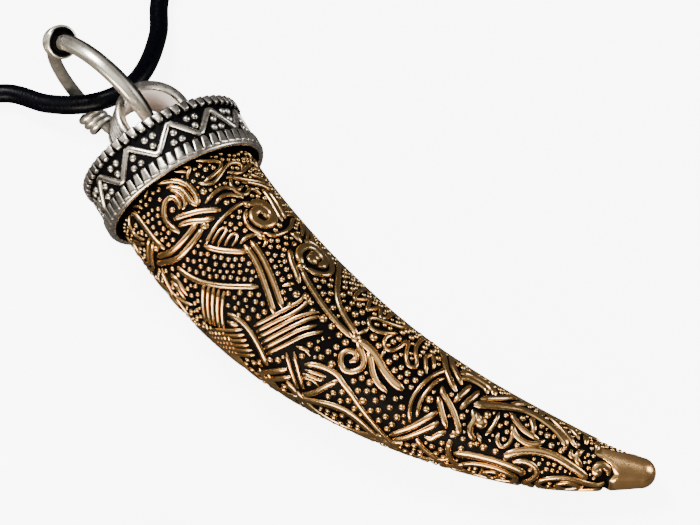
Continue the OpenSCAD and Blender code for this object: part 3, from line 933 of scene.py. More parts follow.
        R, (40.1, 89, 41.3, 82.5, 42.6, 75, 44.0, 67, 45.3, 60.5, 46.8, 58.6, 48.3, 62.5, 49.7, 71,
        50.7, 83, 51.2, 93),
    ),
    *drawn(
        B, (44.2, 76, 45.0, 85, 46.3, 93.5, 48.0, 97.5), (46.8, 63, 46.7, 73, 47.1, 82, 47.2, 93),
        (44.8, 91, 45.1, 99, 45.8, 106, 46.9, 109.4, 48.0, 105.5, 48.6, 96),
    ),
    *drawn(L, (43.0, 84, 42.95, 100, 42.7, 113, 42.5, 119)),
    *drawn(B, (40.6, 97, 41.0, 101, 41.7, 107)),
    *drawn(
        L, (41.6, 120, 42.1, 126, 42.4, 131), (42.1, 116, 42.9, 121, 43.2, 125), (43.7, 110, 43.8, 119,
        44.4, 126.4, 45.0, 121.5, 45.2, 111, 44.95, 98),
    ),
    *drawn(B, (40.2, 96, 40.8, 106, 40.7, 117, 41.3, 127.5, 42.2, 126)),
    *drawn(
        R, (45.3, 144, 45.5, 133.5, 46.4, 125, 47.6, 118, 49.1, 114.4, 50.4, 116.2, 51.6, 122, 52.7, 130,
        53.6, 140, 54.1, 150),
    ),
    *drawn(B, (46.2, 143, 47.3, 137, 48.4, 141, 48.9, 152, 48.7, 166, 47.9, 184)),
    *drawn(R, (40.2, 158, 41.6, 152.5, 43.9, 149.6, 46.0, 151.6, 47.4, 157, 47.4, 165)),
    *drawn(
        B, (41.2, 175, 42.4, 165, 43.9, 161.5, 45.7, 164, 46.9, 172, 47.1, 186), (49.2, 184, 49.7, 166,
        50.8, 156.5, 52.2, 153.4, 53.5, 157, 54.5, 163.5, 55.5, 166, 56.1, 157), (51.2, 186, 51.6, 170,
        52.4, 165, 53.3, 172, 53.8, 186), (53.0, 88, 52.6, 98, 52.5, 109, 53.3, 123), (51.8, 95, 51.8, 105,
        52.4, 111), (48.3, 36, 49.3, 50, 50.4, 62, 51.3, 74, 52.0, 84), (45.4, 28, 45.2, 40, 44.7, 50,
        43.9, 60), (47.4, 28, 47.5, 40, 47.5, 53), (50.9, 40, 51.8, 54, 52.4, 66), (52.9, 44, 53.2, 58,
        53.2, 72), (54.4, 46, 54.5, 62, 54.7, 78), (41.2, 26, 41.3, 38, 41.2, 42), (38.2, 26, 38.6, 38),
    ),
    *drawn(L, (43.4, 190, 43.8, 177, 44.8, 170, 45.4, 182, 45.5, 190)),
)


@dataclass(frozen=True)
class Spiral:
    """A line wound up on the unrolled upper face."""

    s: float
    angle: float
    radius: float
    turns: float
    outer_at: float
    hand: int
    track: Track


SPIRALS = (
    Spiral(8.1, 69.8, 1.9, 1.45, 170, 1, Track.SCROLL),
    Spiral(55.3, 127, 1.05, 0.8, 15, -1, Track.RIBBON),
)
# Large pellets: distance, angle, radius
KNOBS = (
    (2.25, 96.5, 0.45), (0.1, 85, 0.36), (0.2, 93, 0.34), (4.7, 87, 0.38), (1.85, 124.5, 0.4),
    (2.6, 56.5, 0.3), (0.1, 162, 0.36), (1.1, 161, 0.38), (3.4, 158, 0.42), (5.4, 111.5, 0.55),
    (6.1, 74, 0.5), (10.15, 83, 0.5), (10.2, 62.5, 0.42), (15.6, 56, 0.8), (15.8, 61.5, 0.8),
    (15.7, 75.5, 0.6), (17.6, 97, 0.48), (17.9, 107, 0.42), (18.5, 93, 0.42), (19.4, 94, 0.34),
    (16.4, 103, 0.36), (14.0, 122, 0.4), (13.1, 127, 0.36), (15.6, 121, 0.34), (16.3, 125, 0.38),
    (15.4, 138, 0.4), (14.4, 142, 0.34), (12.2, 134, 0.36), (20.2, 152, 0.44), (19.5, 157, 0.4),
    (24.0, 155, 0.36), (21.5, 98, 0.5), (20.1, 99, 0.4), (22.7, 99, 0.42), (23.9, 101, 0.4),
    (24.9, 103, 0.44), (24.4, 111, 0.4), (25.0, 126, 0.48), (24.0, 118.5, 0.4), (22.9, 122, 0.36),
    (25.5, 94, 0.62), (27.0, 83, 0.52), (27.1, 63, 0.3), (26.4, 69, 0.34), (22.8, 76, 0.44),
    (23.8, 75.5, 0.46), (21.3, 68, 0.42), (20.8, 59, 0.4), (29.3, 122, 0.46), (30.2, 87, 0.4),
    (33.4, 87, 0.42), (31.3, 93, 0.36), (32.2, 95, 0.4), (33.3, 97, 0.38), (29.6, 142, 0.5),
    (31.2, 129, 0.4), (33.4, 129, 0.44), (33.4, 141, 0.46), (32.3, 135, 0.4), (30.1, 127, 0.36),
    (32.4, 124, 0.36), (31.9, 154, 0.4), (33.0, 160, 0.42), (35.6, 108, 0.46), (35.75, 119, 0.42),
    (39.5, 109, 0.42), (41.6, 106, 0.75), (41.9, 94, 0.46), (45.6, 76, 0.4), (47.9, 74, 0.34),
    (48.8, 86, 0.4), (52.2, 82, 0.44), (49.5, 100, 0.4), (50.7, 103, 0.4), (55.05, 128, 0.62),
    (46.0, 117, 0.34), (42.8, 135, 0.46), (44.1, 135, 0.42), (41.5, 137, 0.42), (40.5, 134, 0.36),
    (40.7, 147, 0.42), (32.3, 53, 0.4), (42.0, 134, 0.3), (51.0, 96, 0.3),
)


@dataclass
class Fang:
    """The cast fang: a dark ground, raised lines that pass over and under each other, and pellets."""

    length: float = 60.0
    step: float = 10.0
    headings: tuple = (-57.5, -48.0, -39.0, -30.4, -22.9, -15.0, -4.5)
    radii: tuple = (8.45, 8.35, 7.75, 6.65, 5.45, 3.95, 1.74)
    relief: float = 0.35
    plug: float = 4.6
    sides: int = 96
    # Distances between the ground's rings, and where the finer ones start
    ring_steps: tuple[float, float] = (0.5, 0.2)
    finer_from: float = 55.0
    # Degrees between the rings of the rounded tip, and over how many millimetres the ground rises to it
    tip_step: float = 12.0
    fade: float = 0.5
    # Steps of the axis and of the raised lines
    axis_step: float = 0.1
    trace_step: float = 0.32
    # How far a line dips under another, how much room it leaves it, and how its dip starts and deepens
    dip: float = 0.5
    clear: float = 0.2
    dip_reach: float = 1.6
    dip_slope: float = 1.7
    # How full a line is at its end, and how much it fills out from point to point
    end_swell: tuple[float, float] = (0.45, 0.3)
    # Gaps from pellet to line and from pellet to pellet
    gaps: tuple[float, float] = (0.05, 0.09)
    # The raster of places: its step and ends, how far its rows waver, and how far off the tip it stays
    raster_step: float = 0.17
    raster_ends: tuple[float, float] = (-1.1, 58.0)
    waver: float = 0.05
    tip_gap: float = 0.25
    # How many places are measured at a time, and the distance to a pellet where there is none
    batch: int = 200
    far: float = 3.0
    # Sizes of the filling pellets, as shares of the largest, and the heights of the lowest and the highest
    shares: tuple = (1.0, 0.82, 0.62)
    pellet_hs: tuple[float, float] = (0.26, 0.42)
    # Largest radius of a filling pellet by distance along the fang
    largest: tuple = ((0, 13.5, 17, 34, 42, 55), (0.31, 0.32, 0.39, 0.41, 0.33, 0.27))
    # Where the plain tip starts, by angle
    plain: tuple = (
        (0, 35, 52, 60, 68, 88, 95, 105, 127, 150, 180),
        (58.6, 58.3, 57.2, 56.2, 54.3, 54.3, 55.4, 56.2, 56.8, 56.4, 56.6),
    )

    # By what share a spiral's radius shrinks, the share of its steps that this leaves, and the fewest steps
    shrink: float = 0.8
    spiral_steps: tuple[float, int] = (0.6, 12)

    def __post_init__(self) -> None:
        """Works out the axis and the ground's radius, step by step."""
        self.at = np.arange(-self.plug, self.length + self.axis_step / 2, self.axis_step)
        knots = np.stack([self.headings, self.radii], 1)
        u = np.clip(self.at / self.step, 0, len(knots) - 1 - 1e-9)
        both = between(knots, u.astype(int), (u % 1)[:, None])
        self.heading = np.where(self.at < 0, CAP_HEADING, both[:, 0])
        self.radius = both[:, 1] - self.relief
        way = about(self.heading)[:, :2]
        axis = np.vstack([[0, 0], np.cumsum((way[1:] + way[:-1]) / 2 * self.axis_step, axis=0)])
        self.axis = axis - axis[np.argmin(np.abs(self.at))]

    def ground(self, s: np.ndarray | float) -> np.ndarray | float:
        """The ground's radius at a distance along the fang."""
        return np.interp(s, self.at, self.radius)

    def spot(self, s: np.ndarray, angle: np.ndarray, lift: np.ndarray | float = 0.0) -> np.ndarray:
        """Points of the fang's surface, by distance along it and angle round it."""
        heading = np.radians(np.interp(s, self.at, self.heading))
        x, y = (np.interp(s, self.at, column) for column in self.axis.T)
        r = self.ground(s) + lift
        out, up = r * np.cos(np.radians(angle)), r * np.sin(np.radians(angle))
        return np.stack([x - out * np.sin(heading), y + out * np.cos(heading), up], -1)

    def normal(self, s: np.ndarray, angle: np.ndarray) -> np.ndarray:
        """The surface's outward direction at those points."""
        along = self.spot(s + 0.2, angle) - self.spot(s - 0.2, angle)
        across = self.spot(s, angle + 1.0) - self.spot(s, angle - 1.0)
        return unit(np.cross(across, along))

    def flat(self, trace: np.ndarray) -> np.ndarray:
        """Points given by distance and angle, as millimetres along and round the fang."""
        return np.stack([trace[:, 0], np.radians(trace[:, 1]) * self.ground(trace[:, 0])], 1)

    def strands(self, stroke: Stroke) -> list[np.ndarray]:
        """The stroke's strands as traces of (distance, angle)."""
        made = []
        for line in stroke.lines:
            points = np.reshape(np.array(line, float), (-1, 2))
            scale = np.array([1.0, math.radians(1) * self.ground(points[:, 0].mean())])
            trace = through(points * scale, self.trace_step) / scale
            way = unit(np.gradient(self.flat(trace), axis=0))
            for k in range(stroke.strands):
                off = (k - (stroke.strands - 1) / 2) * stroke.pitch
                s = trace[:, 0] - off * way[:, 1]
                made.append(np.stack([s, trace[:, 1] + np.degrees(off * way[:, 0] / self.ground(s))], 1))
        return made

    def wound(self, spiral: Spiral) -> np.ndarray:
        """The spiral's trace, whose radius shrinks inwards."""
        share, fewest = self.spiral_steps
        count = int(2 * math.pi * spiral.radius * spiral.turns * share / self.trace_step)
        f = np.linspace(0, 1, max(fewest, count))
        way = about(spiral.outer_at + spiral.hand * 360 * spiral.turns * f)
        along, across = (spiral.radius * (1 - self.shrink * f) * way[:, k] for k in (0, 1))
        return np.stack([spiral.s + along, spiral.angle + np.degrees(across / self.ground(spiral.s))], 1)

    def weave(self, groups: list[list[np.ndarray]], widths: list[float]) -> list[list[np.ndarray]]:
        """How far each point of each strand is lifted, so that the strokes pass over and under in turn.

        Args:
            groups: The strands of each stroke.
            widths: The width of each stroke's strands.

        Returns:
            The lifts, laid out as the strands are.
        """
        lifts = [[np.zeros(len(trace)) for trace in group] for group in groups]
        meets = {}
        for i, one in enumerate(groups):
            for j in range(i + 1, len(groups)):
                for p, a in enumerate(one):
                    for q, b in enumerate(groups[j]):
                        for u, v in crossings(a, b):
                            meets.setdefault((i, j), []).append((p, q, u, v))
        over = {}
        for i in range(len(groups)):
            last = None
            met = [pair for pair in meets if i in pair]
            for pair in sorted(met, key=lambda pair: self.first(pair, i, meets)):
                if pair not in over:
                    over[pair] = i if last != i else sum(pair) - i
                last = over[pair]
        for (i, j), hits in meets.items():
            for p, q, u, v in hits:
                low, strand, at, other = (j, q, v, i) if over[(i, j)] == i else (i, p, u, j)
                trace = groups[low][strand]
                along = lengths(self.flat(trace))
                away = np.abs(along - np.interp(at, np.arange(len(trace)), along))
                depth = np.clip(self.dip_reach - away / (widths[other] / 2 + self.clear), 0, 1)
                dip = -self.dip * np.minimum(depth * self.dip_slope, 1)
                lifts[low][strand] = np.minimum(lifts[low][strand], dip)
        return lifts

    @staticmethod
    def first(pair: tuple, i: int, meets: dict) -> float:
        """Where along stroke i its crossing with the other stroke of the pair lies."""
        return float(np.mean([hit[2] if pair[0] == i else hit[3] for hit in meets[pair]]))

    def ground_piece(self) -> bpy.types.Object:
        """The plain horn under the ornament, with its plug and its rounded tip, bright where it is bare."""
        coarse, fine = self.ring_steps
        s = np.concatenate(
            [
                [-self.plug, -0.3],
                np.arange(0, self.finer_from, coarse),
                np.arange(self.finer_from, self.length + 0.01, fine),
            ]
        )
        angle = np.linspace(0, 360, self.sides, endpoint=False)
        grid_s, grid_a = (grid.ravel() for grid in np.meshgrid(s, angle, indexing="ij"))
        half_turn = 180 - np.abs(180 - grid_a)
        bald = np.clip((grid_s - np.interp(half_turn, *self.plain)) / self.fade, 0, 1)
        ground_r = self.ground(self.length)
        tip_r = ground_r + self.relief
        way = about(np.array(self.headings[-1]))
        rings = []
        for t in np.radians(np.arange(self.tip_step, 90, self.tip_step)):
            ring = self.spot(np.full(self.sides, self.length), angle, tip_r * math.cos(t) - ground_r)
            rings.append(ring + tip_r * math.sin(t) * way)
        crest = np.concatenate([bald, np.ones(len(rings) * self.sides)])
        out = np.vstack([self.normal(grid_s, grid_a), np.zeros((len(rings) * self.sides, 3))])
        points = np.vstack([self.spot(grid_s, grid_a), *rings]) + self.relief * crest[:, None] * out
        faces = skin_faces(len(s) + len(rings), self.sides)
        ground = mesh_piece("fang_ground", points, faces, ON_FANG, Finish.BRONZE, crest)
        ground.data.materials.append(finish_of(Finish.TIP))
        for face in ground.data.polygons:
            face.material_index = int(min(crest[i] for i in face.vertices) > 0.9)
        return ground

    def raised(self, track: Track, tree: bpy.types.NodeTree, woven: list[tuple]) -> bpy.types.Object:
        """The raised lines of one width, on both faces.

        Args:
            track: Their width.
            tree: The tree that makes bands.
            woven: The track, the strand and the lift of each strand of the ornament.

        Returns:
            The piece.
        """
        points, edges, ups, swells = [], [], [], []
        for face in FACES:
            for trace, lift in ((trace, lift) for its_track, trace, lift in woven if its_track == track):
                s, angle = trace[:, 0], face * trace[:, 1]
                edges.extend((len(points) + k, len(points) + k + 1) for k in range(len(s) - 1))
                points.extend(self.spot(s, angle, lift))
                ups.extend(self.normal(s, angle))
                ends = np.minimum(np.arange(len(s)), np.arange(len(s))[::-1])
                swells.extend(np.clip(self.end_swell[0] + self.end_swell[1] * ends, 0, 1))
        return grow(
            f"fang_{track.name.lower()}s", tree, ON_FANG, Finish.BRONZE, np.array(points),
            {"up": ON_FANG.aim(np.array(ups)), "swell": np.array(swells)}, edges,
            Width=track.value * MM, Relief=self.relief * MM,
        )

    def build(self) -> list[bpy.types.Object]:
        """Makes the ground, the raised lines of each width, and the pellets."""
        groups = [self.strands(stroke) for stroke in STROKES] + [[self.wound(spiral)] for spiral in SPIRALS]
        tracks = [line.track for line in (*STROKES, *SPIRALS)]
        lifts = self.weave(groups, [track.value for track in tracks])
        woven = [
            (track, trace, lift)
            for track, group, its_lifts in zip(tracks, groups, lifts)
            for trace, lift in zip(group, its_lifts)
        ]
        tree = bands_tree()
        made = [self.ground_piece()]
        made += [self.raised(track, tree, woven) for track in Track]
        made.append(self.pellets(woven))
        for piece in made:
            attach(piece, "root")
            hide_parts("fang")
        return made

    def pellets(self, woven: list[tuple]) -> bpy.types.Object:
        """Pellets wherever the lines leave room, close to the lines first, so that their rows follow them."""
        lines = np.vstack([self.flat(trace) for _, trace, _ in woven])
        halves = np.concatenate([np.full(len(trace), track.value / 2) for track, trace, _ in woven])
        places = self.raster()
        flat = self.flat(places)
        to_line = np.concatenate(
            [
                (np.linalg.norm(part[:, None] - lines[None], axis=2) - halves).min(1)
                for part in np.array_split(flat, max(1, len(flat) // self.batch))
            ]
        )
        seam = np.radians(np.minimum(places[:, 1], 180 - places[:, 1])) * self.ground(places[:, 0])
        to_line = np.minimum(to_line, seam + self.gaps[0])
        spots = list(KNOBS)
        to_pellet = np.full(len(places), self.far)
        for s, angle, r in spots:
            away = np.linalg.norm(flat - self.flat(np.array([[s, angle]])), axis=1) - r
            to_pellet = np.minimum(to_pellet, away)
        for share in self.shares:
            r = np.interp(places[:, 0], *self.largest) * share
            while True:
                beside, apart = to_line - r, to_pellet - r
                fits = (beside >= self.gaps[0]) & (apart >= self.gaps[1])
                if not fits.any():
                    break
                k = int(np.argmin(np.where(fits, beside + apart, np.inf)))
                spots.append((*places[k], r[k]))
                to_pellet = np.minimum(to_pellet, np.linalg.norm(flat - flat[k], axis=1) - r[k])
        s, angle, r = np.vstack([np.array(spots) * [1, face, 1] for face in FACES]).T
        girth = np.stack([r, r, np.clip(r, *self.pellet_hs)], 1) * MM
        return grow(
            "fang_pellets", pellets_tree(), ON_FANG, Finish.BRONZE, self.spot(s, angle),
            {"up": ON_FANG.aim(self.normal(s, angle)), "girth": girth}, Sides=8.0,
        )

    def raster(self) -> np.ndarray:
        """A fine, slightly uneven raster of places over one face, as (distance, angle)."""
        draw = np.random.default_rng(SEED)
        places = []
        for s in np.arange(*self.raster_ends, self.raster_step):
            count = max(3, int(math.pi * self.ground(s) / self.raster_step))
            angle = (np.arange(count) + draw.uniform()) * 180 / count
            places.append(np.stack([s + draw.uniform(-self.waver, self.waver, count), angle], 1))
        places = np.vstack(places)
        return places[places[:, 0] < np.interp(places[:, 1], *self.plain) - self.tip_gap]


def crossings(a: np.ndarray, b: np.ndarray) -> list[tuple[float, float]]:
    """Where two traces cross, as how many points along each trace each crossing lies."""
    if (a.max(0) < b.min(0)).any() or (b.max(0) < a.min(0)).any():
        return []

    def across(one: np.ndarray, other: np.ndarray) -> np.ndarray:
        """The cross products of two rasters of flat vectors."""
        return one[..., 0] * other[..., 1] - one[..., 1] * other[..., 0]

    p, r = a[:-1, None], np.diff(a, axis=0)[:, None]
    q, s = b[None, :-1], np.diff(b, axis=0)[None]
    both = across(r, s)
    both = np.where(np.abs(both) < 1e-9, np.nan, both)
    t, u = across(q - p, s) / both, across(q - p, r) / both
    found = np.argwhere((t >= 0) & (t < 1) & (u >= 0) & (u < 1))
    return [(i + t[i, j], j + u[i, j]) for i, j in found]


# Cap and eye


@dataclass
class Cap:
    """The silver cap, with its rope borders, zigzag, pellets and eye."""

    ground_r: float = 9.25
    lip_r: float = 9.7
    lip_h: float = 1.2
    top_h: float = 7.8
    bore_r: float = 8.4
    mouth_r: float = 9.1
    mouth_h: float = 2.8
    ceiling_h: float = 6.2
    centre_r: float = 0.05
    bevel: float = 0.3
    segments: int = 160
    rope_hs: tuple[float, float] = (2.35, 7.3)
    rope_n: int = 55
    slants: tuple[float, float] = (-6.0, 10.0)
    # Depth and width of a tooth, then the height of each rope's teeth and how much they narrow upwards
    tooth: tuple[float, float] = (1.15, 1.04)
    tooth_hs: tuple[float, float] = (1.75, 1.15)
    tapers: tuple[float, float] = (0.62, -0.6)
    zigzag_n: int = 11
    zigzag_first: float = -94.0
    zigzag_hs: tuple[float, float] = (3.5, 6.35)
    zigzag_w: float = 0.76
    relief: float = 0.4
    pellet_r: float = 0.44
    # A trio of pellets: its middle's height and how far it sits off it, and the pellets' places in it
    trio_h: float = 4.9
    trio_off: float = 0.62
    trio: tuple = ((0.0, -0.7), (-3.2, 0.36), (3.2, 0.36))
    eye_at: tuple[float, float, float] = (0.4, 0.0, 10.75)
    eye_turn: float = 7.0
    eye_r: float = 4.5
    eye_hole_r: float = 3.3
    eye_w: float = 5.2
    eye_rim: float = 0.8
    eye_ribs: int = 5
    # How far below the eye's radius its ribs' valleys and tops lie
    rib_depths: tuple[float, float] = (0.5, 0.04)
    # Steps round the eye, round each of its rims, over each rib and across the hole
    eye_segments: int = 120
    rim_steps: int = 17
    rib_steps: int = 16
    hole_steps: int = 7
    # From where to where the lining, a sheet that carries a painted warm reflection, reaches out from the
    # hole's radius
    painted_reflection_lining: tuple[float, float] = (-0.04, 0.1)

    def wall(self) -> bpy.types.Object:
        """The cap's turned body, dark between its ropes."""
        low, high = self.rope_hs
        corners = [
            (self.centre_r, self.ceiling_h), (self.bore_r, self.ceiling_h), (self.bore_r, self.mouth_h + 0.5),
            (self.mouth_r, self.mouth_h), (self.mouth_r, self.lip_h), (self.lip_r, self.lip_h),
            (self.lip_r, low - 0.5), (self.ground_r, low - 0.3), (self.ground_r, low), (self.ground_r, high),
            (self.ground_r - 0.3, self.top_h), (self.centre_r, self.top_h),
        ]
        points, faces = revolve(soften(corners, self.bevel), self.segments)
        h, r = points[:, 2], np.hypot(points[:, 0], points[:, 1])
        belt = (h > low - 0.4) & (h < self.top_h - 0.02) & (r > self.ground_r - 0.45)
        inside = (r < self.mouth_r + 0.02) & (h < self.ceiling_h + 0.1)
        crest = np.where(belt, 0.0, np.where(inside, 0.1, 0.75))
        return mesh_piece("cap_wall", points, faces, ON_CAP, Finish.SILVER, crest)

    def ropes(self) -> list[bpy.types.Object]:
        """Both rope borders, each of close teeth that narrow away from the rim."""
        angle = np.arange(self.rope_n) * 360 / self.rope_n
        carried = {"out": ON_CAP.aim(about(angle)), "along": ON_CAP.aim(about(angle + 90))}
        names = ("cap_lower_rope", "cap_upper_rope")
        depth, width = (size * MM for size in self.tooth)
        return [
            grow(
                name, blocks_tree(), ON_CAP, Finish.SILVER, about(angle, self.ground_r + 0.06, h), carried,
                Slant=math.radians(slant), Depth=depth, Width=width, Height=tall * MM, Taper=taper,
            )
            for name, h, tall, slant, taper in zip(
                names, self.rope_hs, self.tooth_hs, self.slants, self.tapers
            )
        ]

    def zigzag(self) -> bpy.types.Object:
        """The zigzag band between the ropes."""
        half = 180 / self.zigzag_n
        low, high = self.zigzag_hs
        angles, heights = [], []
        for k in range(2 * self.zigzag_n):
            start, end = (high, low) if k % 2 == 0 else (low, high)
            for f in np.linspace(0.08, 0.92, 8):
                angles.append(self.zigzag_first + k * half + half * f)
                heights.append(start + (end - start) * f)
        angle, count = np.array(angles), len(angles)
        return grow(
            "cap_zigzag", bands_tree(), ON_CAP, Finish.SILVER, about(angle, self.ground_r, np.array(heights)),
            {"up": ON_CAP.aim(about(angle)), "swell": np.ones(count)},
            [(k, (k + 1) % count) for k in range(count)],
            Width=self.zigzag_w * MM, Relief=self.relief * MM,
        )

    def pellets(self) -> bpy.types.Object:
        """Three pellets in each triangle that the zigzag leaves."""
        spots = []
        for k in range(2 * self.zigzag_n):
            up = 1 if k % 2 == 0 else -1
            for angle, h in self.trio:
                middle = self.zigzag_first + k * 180 / self.zigzag_n
                spots.append((middle + angle, self.trio_h - up * (self.trio_off + h)))
        angle, h = np.array(spots).T
        girth = np.tile(np.array([1.0, 1.0, 0.9]) * self.pellet_r * MM, (len(spots), 1))
        return grow(
            "cap_pellets", pellets_tree(), ON_CAP, Finish.SILVER, about(angle, self.ground_r, h),
            {"up": ON_CAP.aim(about(angle)), "girth": girth}, Sides=14.0,
        )

    def eye(self) -> list[bpy.types.Object]:
        """The hoop on top, with a round rim at each end and ribs between them, and its satin lining, warm
        pinkish as a painted reflection.
        """
        place = Place(
            ON_CAP.put(np.array([self.eye_at]))[0], CAP_TURN @ turn("Z", self.eye_turn) @ turn("X", 90)
        )
        r, half_rim = self.eye_hole_r, self.eye_rim / 2
        half, half_wall = self.eye_w / 2 - half_rim, (self.eye_r - r) / 2
        angle = np.radians(np.linspace(180, -50, self.rim_steps))
        rim = np.stack([r + half_wall + half_wall * np.cos(angle), half + half_rim * np.sin(angle)], 1)
        z = np.linspace(half - half_rim, half_rim - half, self.rib_steps * self.eye_ribs + 1)
        lift = np.abs(np.sin(np.linspace(0, np.pi * self.eye_ribs, len(z))))
        ribs = np.stack([self.eye_r - np.interp(lift, (0, 1), self.rib_depths), z], 1)
        across = np.linspace(-half, half, self.hole_steps + 2)[1:-1]
        hole = np.stack([np.full(self.hole_steps, r), across], 1)
        outline = np.vstack([rim, ribs, rim[::-1] * [1, -1], hole])
        points, faces = revolve(outline, self.eye_segments)
        rim_crest = np.clip((np.degrees(angle) + 42) / 25, 0, 1)
        crest = np.concatenate([rim_crest, (lift - 0.5) / 0.35, rim_crest[::-1], np.full(len(hole), 0.8)])
        crest = np.tile(crest, self.eye_segments)
        hoop = mesh_piece("cap_eye", points, faces, place, Finish.SILVER, crest)
        # painted reflection: a thin sheet over the hole's wall, in the warm tone that its reflection shows
        inner, outer = (r + off for off in self.painted_reflection_lining)
        band = np.array([(inner, -half), (inner, half), (outer, half), (outer, -half)])
        points, faces = revolve(band, self.eye_segments)
        return [hoop, mesh_piece("cap_eye_lining_painted_reflection", points, faces, place, Finish.PAINTED_REFLECTION_LINING)]

    def build(self) -> list[bpy.types.Object]:
        """Makes and dresses the cap's pieces."""
        made = [self.wall(), *self.eye(), *self.ropes(), self.zigzag(), self.pellets()]
        for piece in made:
            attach(piece, "root")
            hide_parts("cap")
        return made


# Ring


@dataclass
class Ring:
    """The ring of tapered wire, with its wraps."""

    radius: float = 8.0
    wire_d: float = 1.45
    steps: int = 180
    sides: int = 24
    # How far the wire is out of its painted shade, by angle: painted dark inside the upper wrap and painted
    # dull on the far arc down to the lower one
    clear_of_patina_and_painted_shade: tuple = ((0, 136, 139, 150, 154, 200, 250, 265, 300), (1, 1, 0, 0, 0.2, 0.21, 0.18, 0.6, 1))
    limb_w: float = 2.0
    limb_d: float = 1.6
    limb_from: float = 18.0
    limb_to: float = 138.0
    # Over what share of its length the limb grows to its full size, and where its blunt end starts
    limb_grown: float = 0.35
    limb_blunt: float = 0.972
    limb_steps: int = 120
    limb_sides: int = 32
    # The limb's soft edges: where round it they lie, how wide they are and how high
    edges_at: tuple[float, float] = (40, 140)
    edge: tuple[float, float] = (14, 0.07)
    # Steps of each turn of a wrap, and the sides of its wire
    turn_steps: int = 40
    turn_sides: int = 14

    def hoop(self) -> bpy.types.Object:
        """The whole wire ring."""
        angle = np.linspace(0, 360, self.steps + 1)
        points = sweep(about(angle, self.radius), UP, self.wire_d / 2, self.wire_d / 2, self.sides)[:-1]
        # painted shade: the wire darkened inside the upper wrap and along its far arc, where shade falls
        clear_of_patina_and_painted_shade = np.repeat(np.interp(angle[:-1], *self.clear_of_patina_and_painted_shade), self.sides)
        faces = skin_faces(self.steps, self.sides, closed=True)
        return mesh_piece("ring_wire", points.reshape(-1, 3), faces, ON_RING, Finish.WIRE, clear_of_patina_and_painted_shade)

    def limb(self) -> bpy.types.Object:
        """The thick front limb, blunt at its upper end and tapered at the eye, with a soft edge along it, and
        painted shade along one side and towards the eye.
        """
        f = np.linspace(0, 1, self.limb_steps)
        grown = np.sin(np.clip(f / self.limb_grown, 0, 1) * np.pi / 2)
        past = np.clip((f - self.limb_blunt) / (1 - self.limb_blunt), 0, 1)
        blunt = np.sqrt(np.clip(1 - past**2, 0.02, 1))
        half_w, half_d = (
            (self.wire_d + (full - self.wire_d) * grown) / 2 * blunt for full in (self.limb_w, self.limb_d)
        )
        path = about(self.limb_from + (self.limb_to - self.limb_from) * f, self.radius)
        around = np.linspace(0, 360, self.limb_sides, endpoint=False)
        wide, high = self.edge
        edge = 1 + sum(high * np.exp(-(((around - at) / wide) ** 2)) for at in self.edges_at)
        points = sweep(path, UP, half_d, half_w, self.limb_sides) - path[:, None]
        points = (path[:, None] + points * edge[None, :, None]).reshape(-1, 3)
        # painted shade: the limb darker along its side towards the cord, and darker still towards the eye,
        # where shade falls
        upper = np.clip(0.42 + 0.5 * np.sin(np.radians(around)), 0.15, 1)
        clear_of_patina_and_painted_shade = np.outer(np.interp(f, (0, 0.3), (0.55, 1)), upper).ravel()
        return mesh_piece(
            "ring_limb", points, skin_faces(len(f), self.limb_sides), ON_RING, Finish.WIRE, clear_of_patina_and_painted_shade
        )

    def wrap(
        self, name: str, span: tuple[float, float], turns: int, coil_r: tuple[float, float], turn_d: float,
        shift: float = 0.0, aside: float = 0.0, clear_of_patina_and_painted_shade: float = 1.0,
    ) -> bpy.types.Object:
        """Thin wire wound round the ring.

        Args:
            name: The piece's plain name.
            span: Where round the ring it starts and ends.
            turns: How many turns it has.
            coil_r: From the ring's wire's middle to the thin wire's middle, at its start and at its end.
            turn_d: The thin wire's diameter.
            shift: How far its middle lies outside the ring's wire.
            aside: How far its middle lies beside the ring's plane.
            clear_of_patina_and_painted_shade: How far its outer side is out of painted shade, from 0 to 1.

        Returns:
            The piece.
        """
        t = np.linspace(0, 1, turns * self.turn_steps)
        along = np.interp(t, (0, 1), span)
        spin = 2 * np.pi * turns * t
        ups = np.cos(spin)[:, None] * about(along) + np.sin(spin)[:, None] * UP
        coil = np.interp(t, (0, 1), coil_r)[:, None] * ups
        path = about(along, self.radius + shift) + aside * UP + coil
        half = turn_d / 2 * np.sqrt(np.clip(np.minimum(t, 1 - t) * 60 + 0.15, 0, 1))
        points = sweep(path, ups, half, half, self.turn_sides).reshape(-1, 3)
        outward = np.sin(np.linspace(0, 2 * np.pi, self.turn_sides, endpoint=False))
        # painted shade: each turn darker on its side towards the ring's wire, where shade falls between them
        crest = np.tile(clear_of_patina_and_painted_shade * np.clip(0.1 + outward, 0, 1), len(t))
        return mesh_piece(name, points, skin_faces(len(t), self.turn_sides), ON_RING, Finish.WIRE, crest)

    def build(self) -> list[bpy.types.Object]:
        """Makes and dresses the ring's pieces."""
        made = [
            self.hoop(),
            self.limb(),
            self.wrap("upper_wrap", (136.5, 150.5), 4, (1.72, 1.5), 0.56),
            # painted shadow: the inner coil of the upper wrap kept all dark, for the black crescent of shade
            # round the limb's blunt end
            self.wrap("upper_wrap_core_in_painted_shadow", (139, 148), 2, (1.05, 1.05), 0.95, clear_of_patina_and_painted_shade=0.0),
            # painted shade: the lower wrap dulled, where shade falls round the cord
            self.wrap("lower_wrap", (-111, -93), 3, (1.1, 1.1), 0.95, shift=-0.15, aside=0.45, clear_of_patina_and_painted_shade=0.4),
        ]
        for piece in made:
            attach(piece, "root")
            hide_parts("ring")
        return made


# Clasp


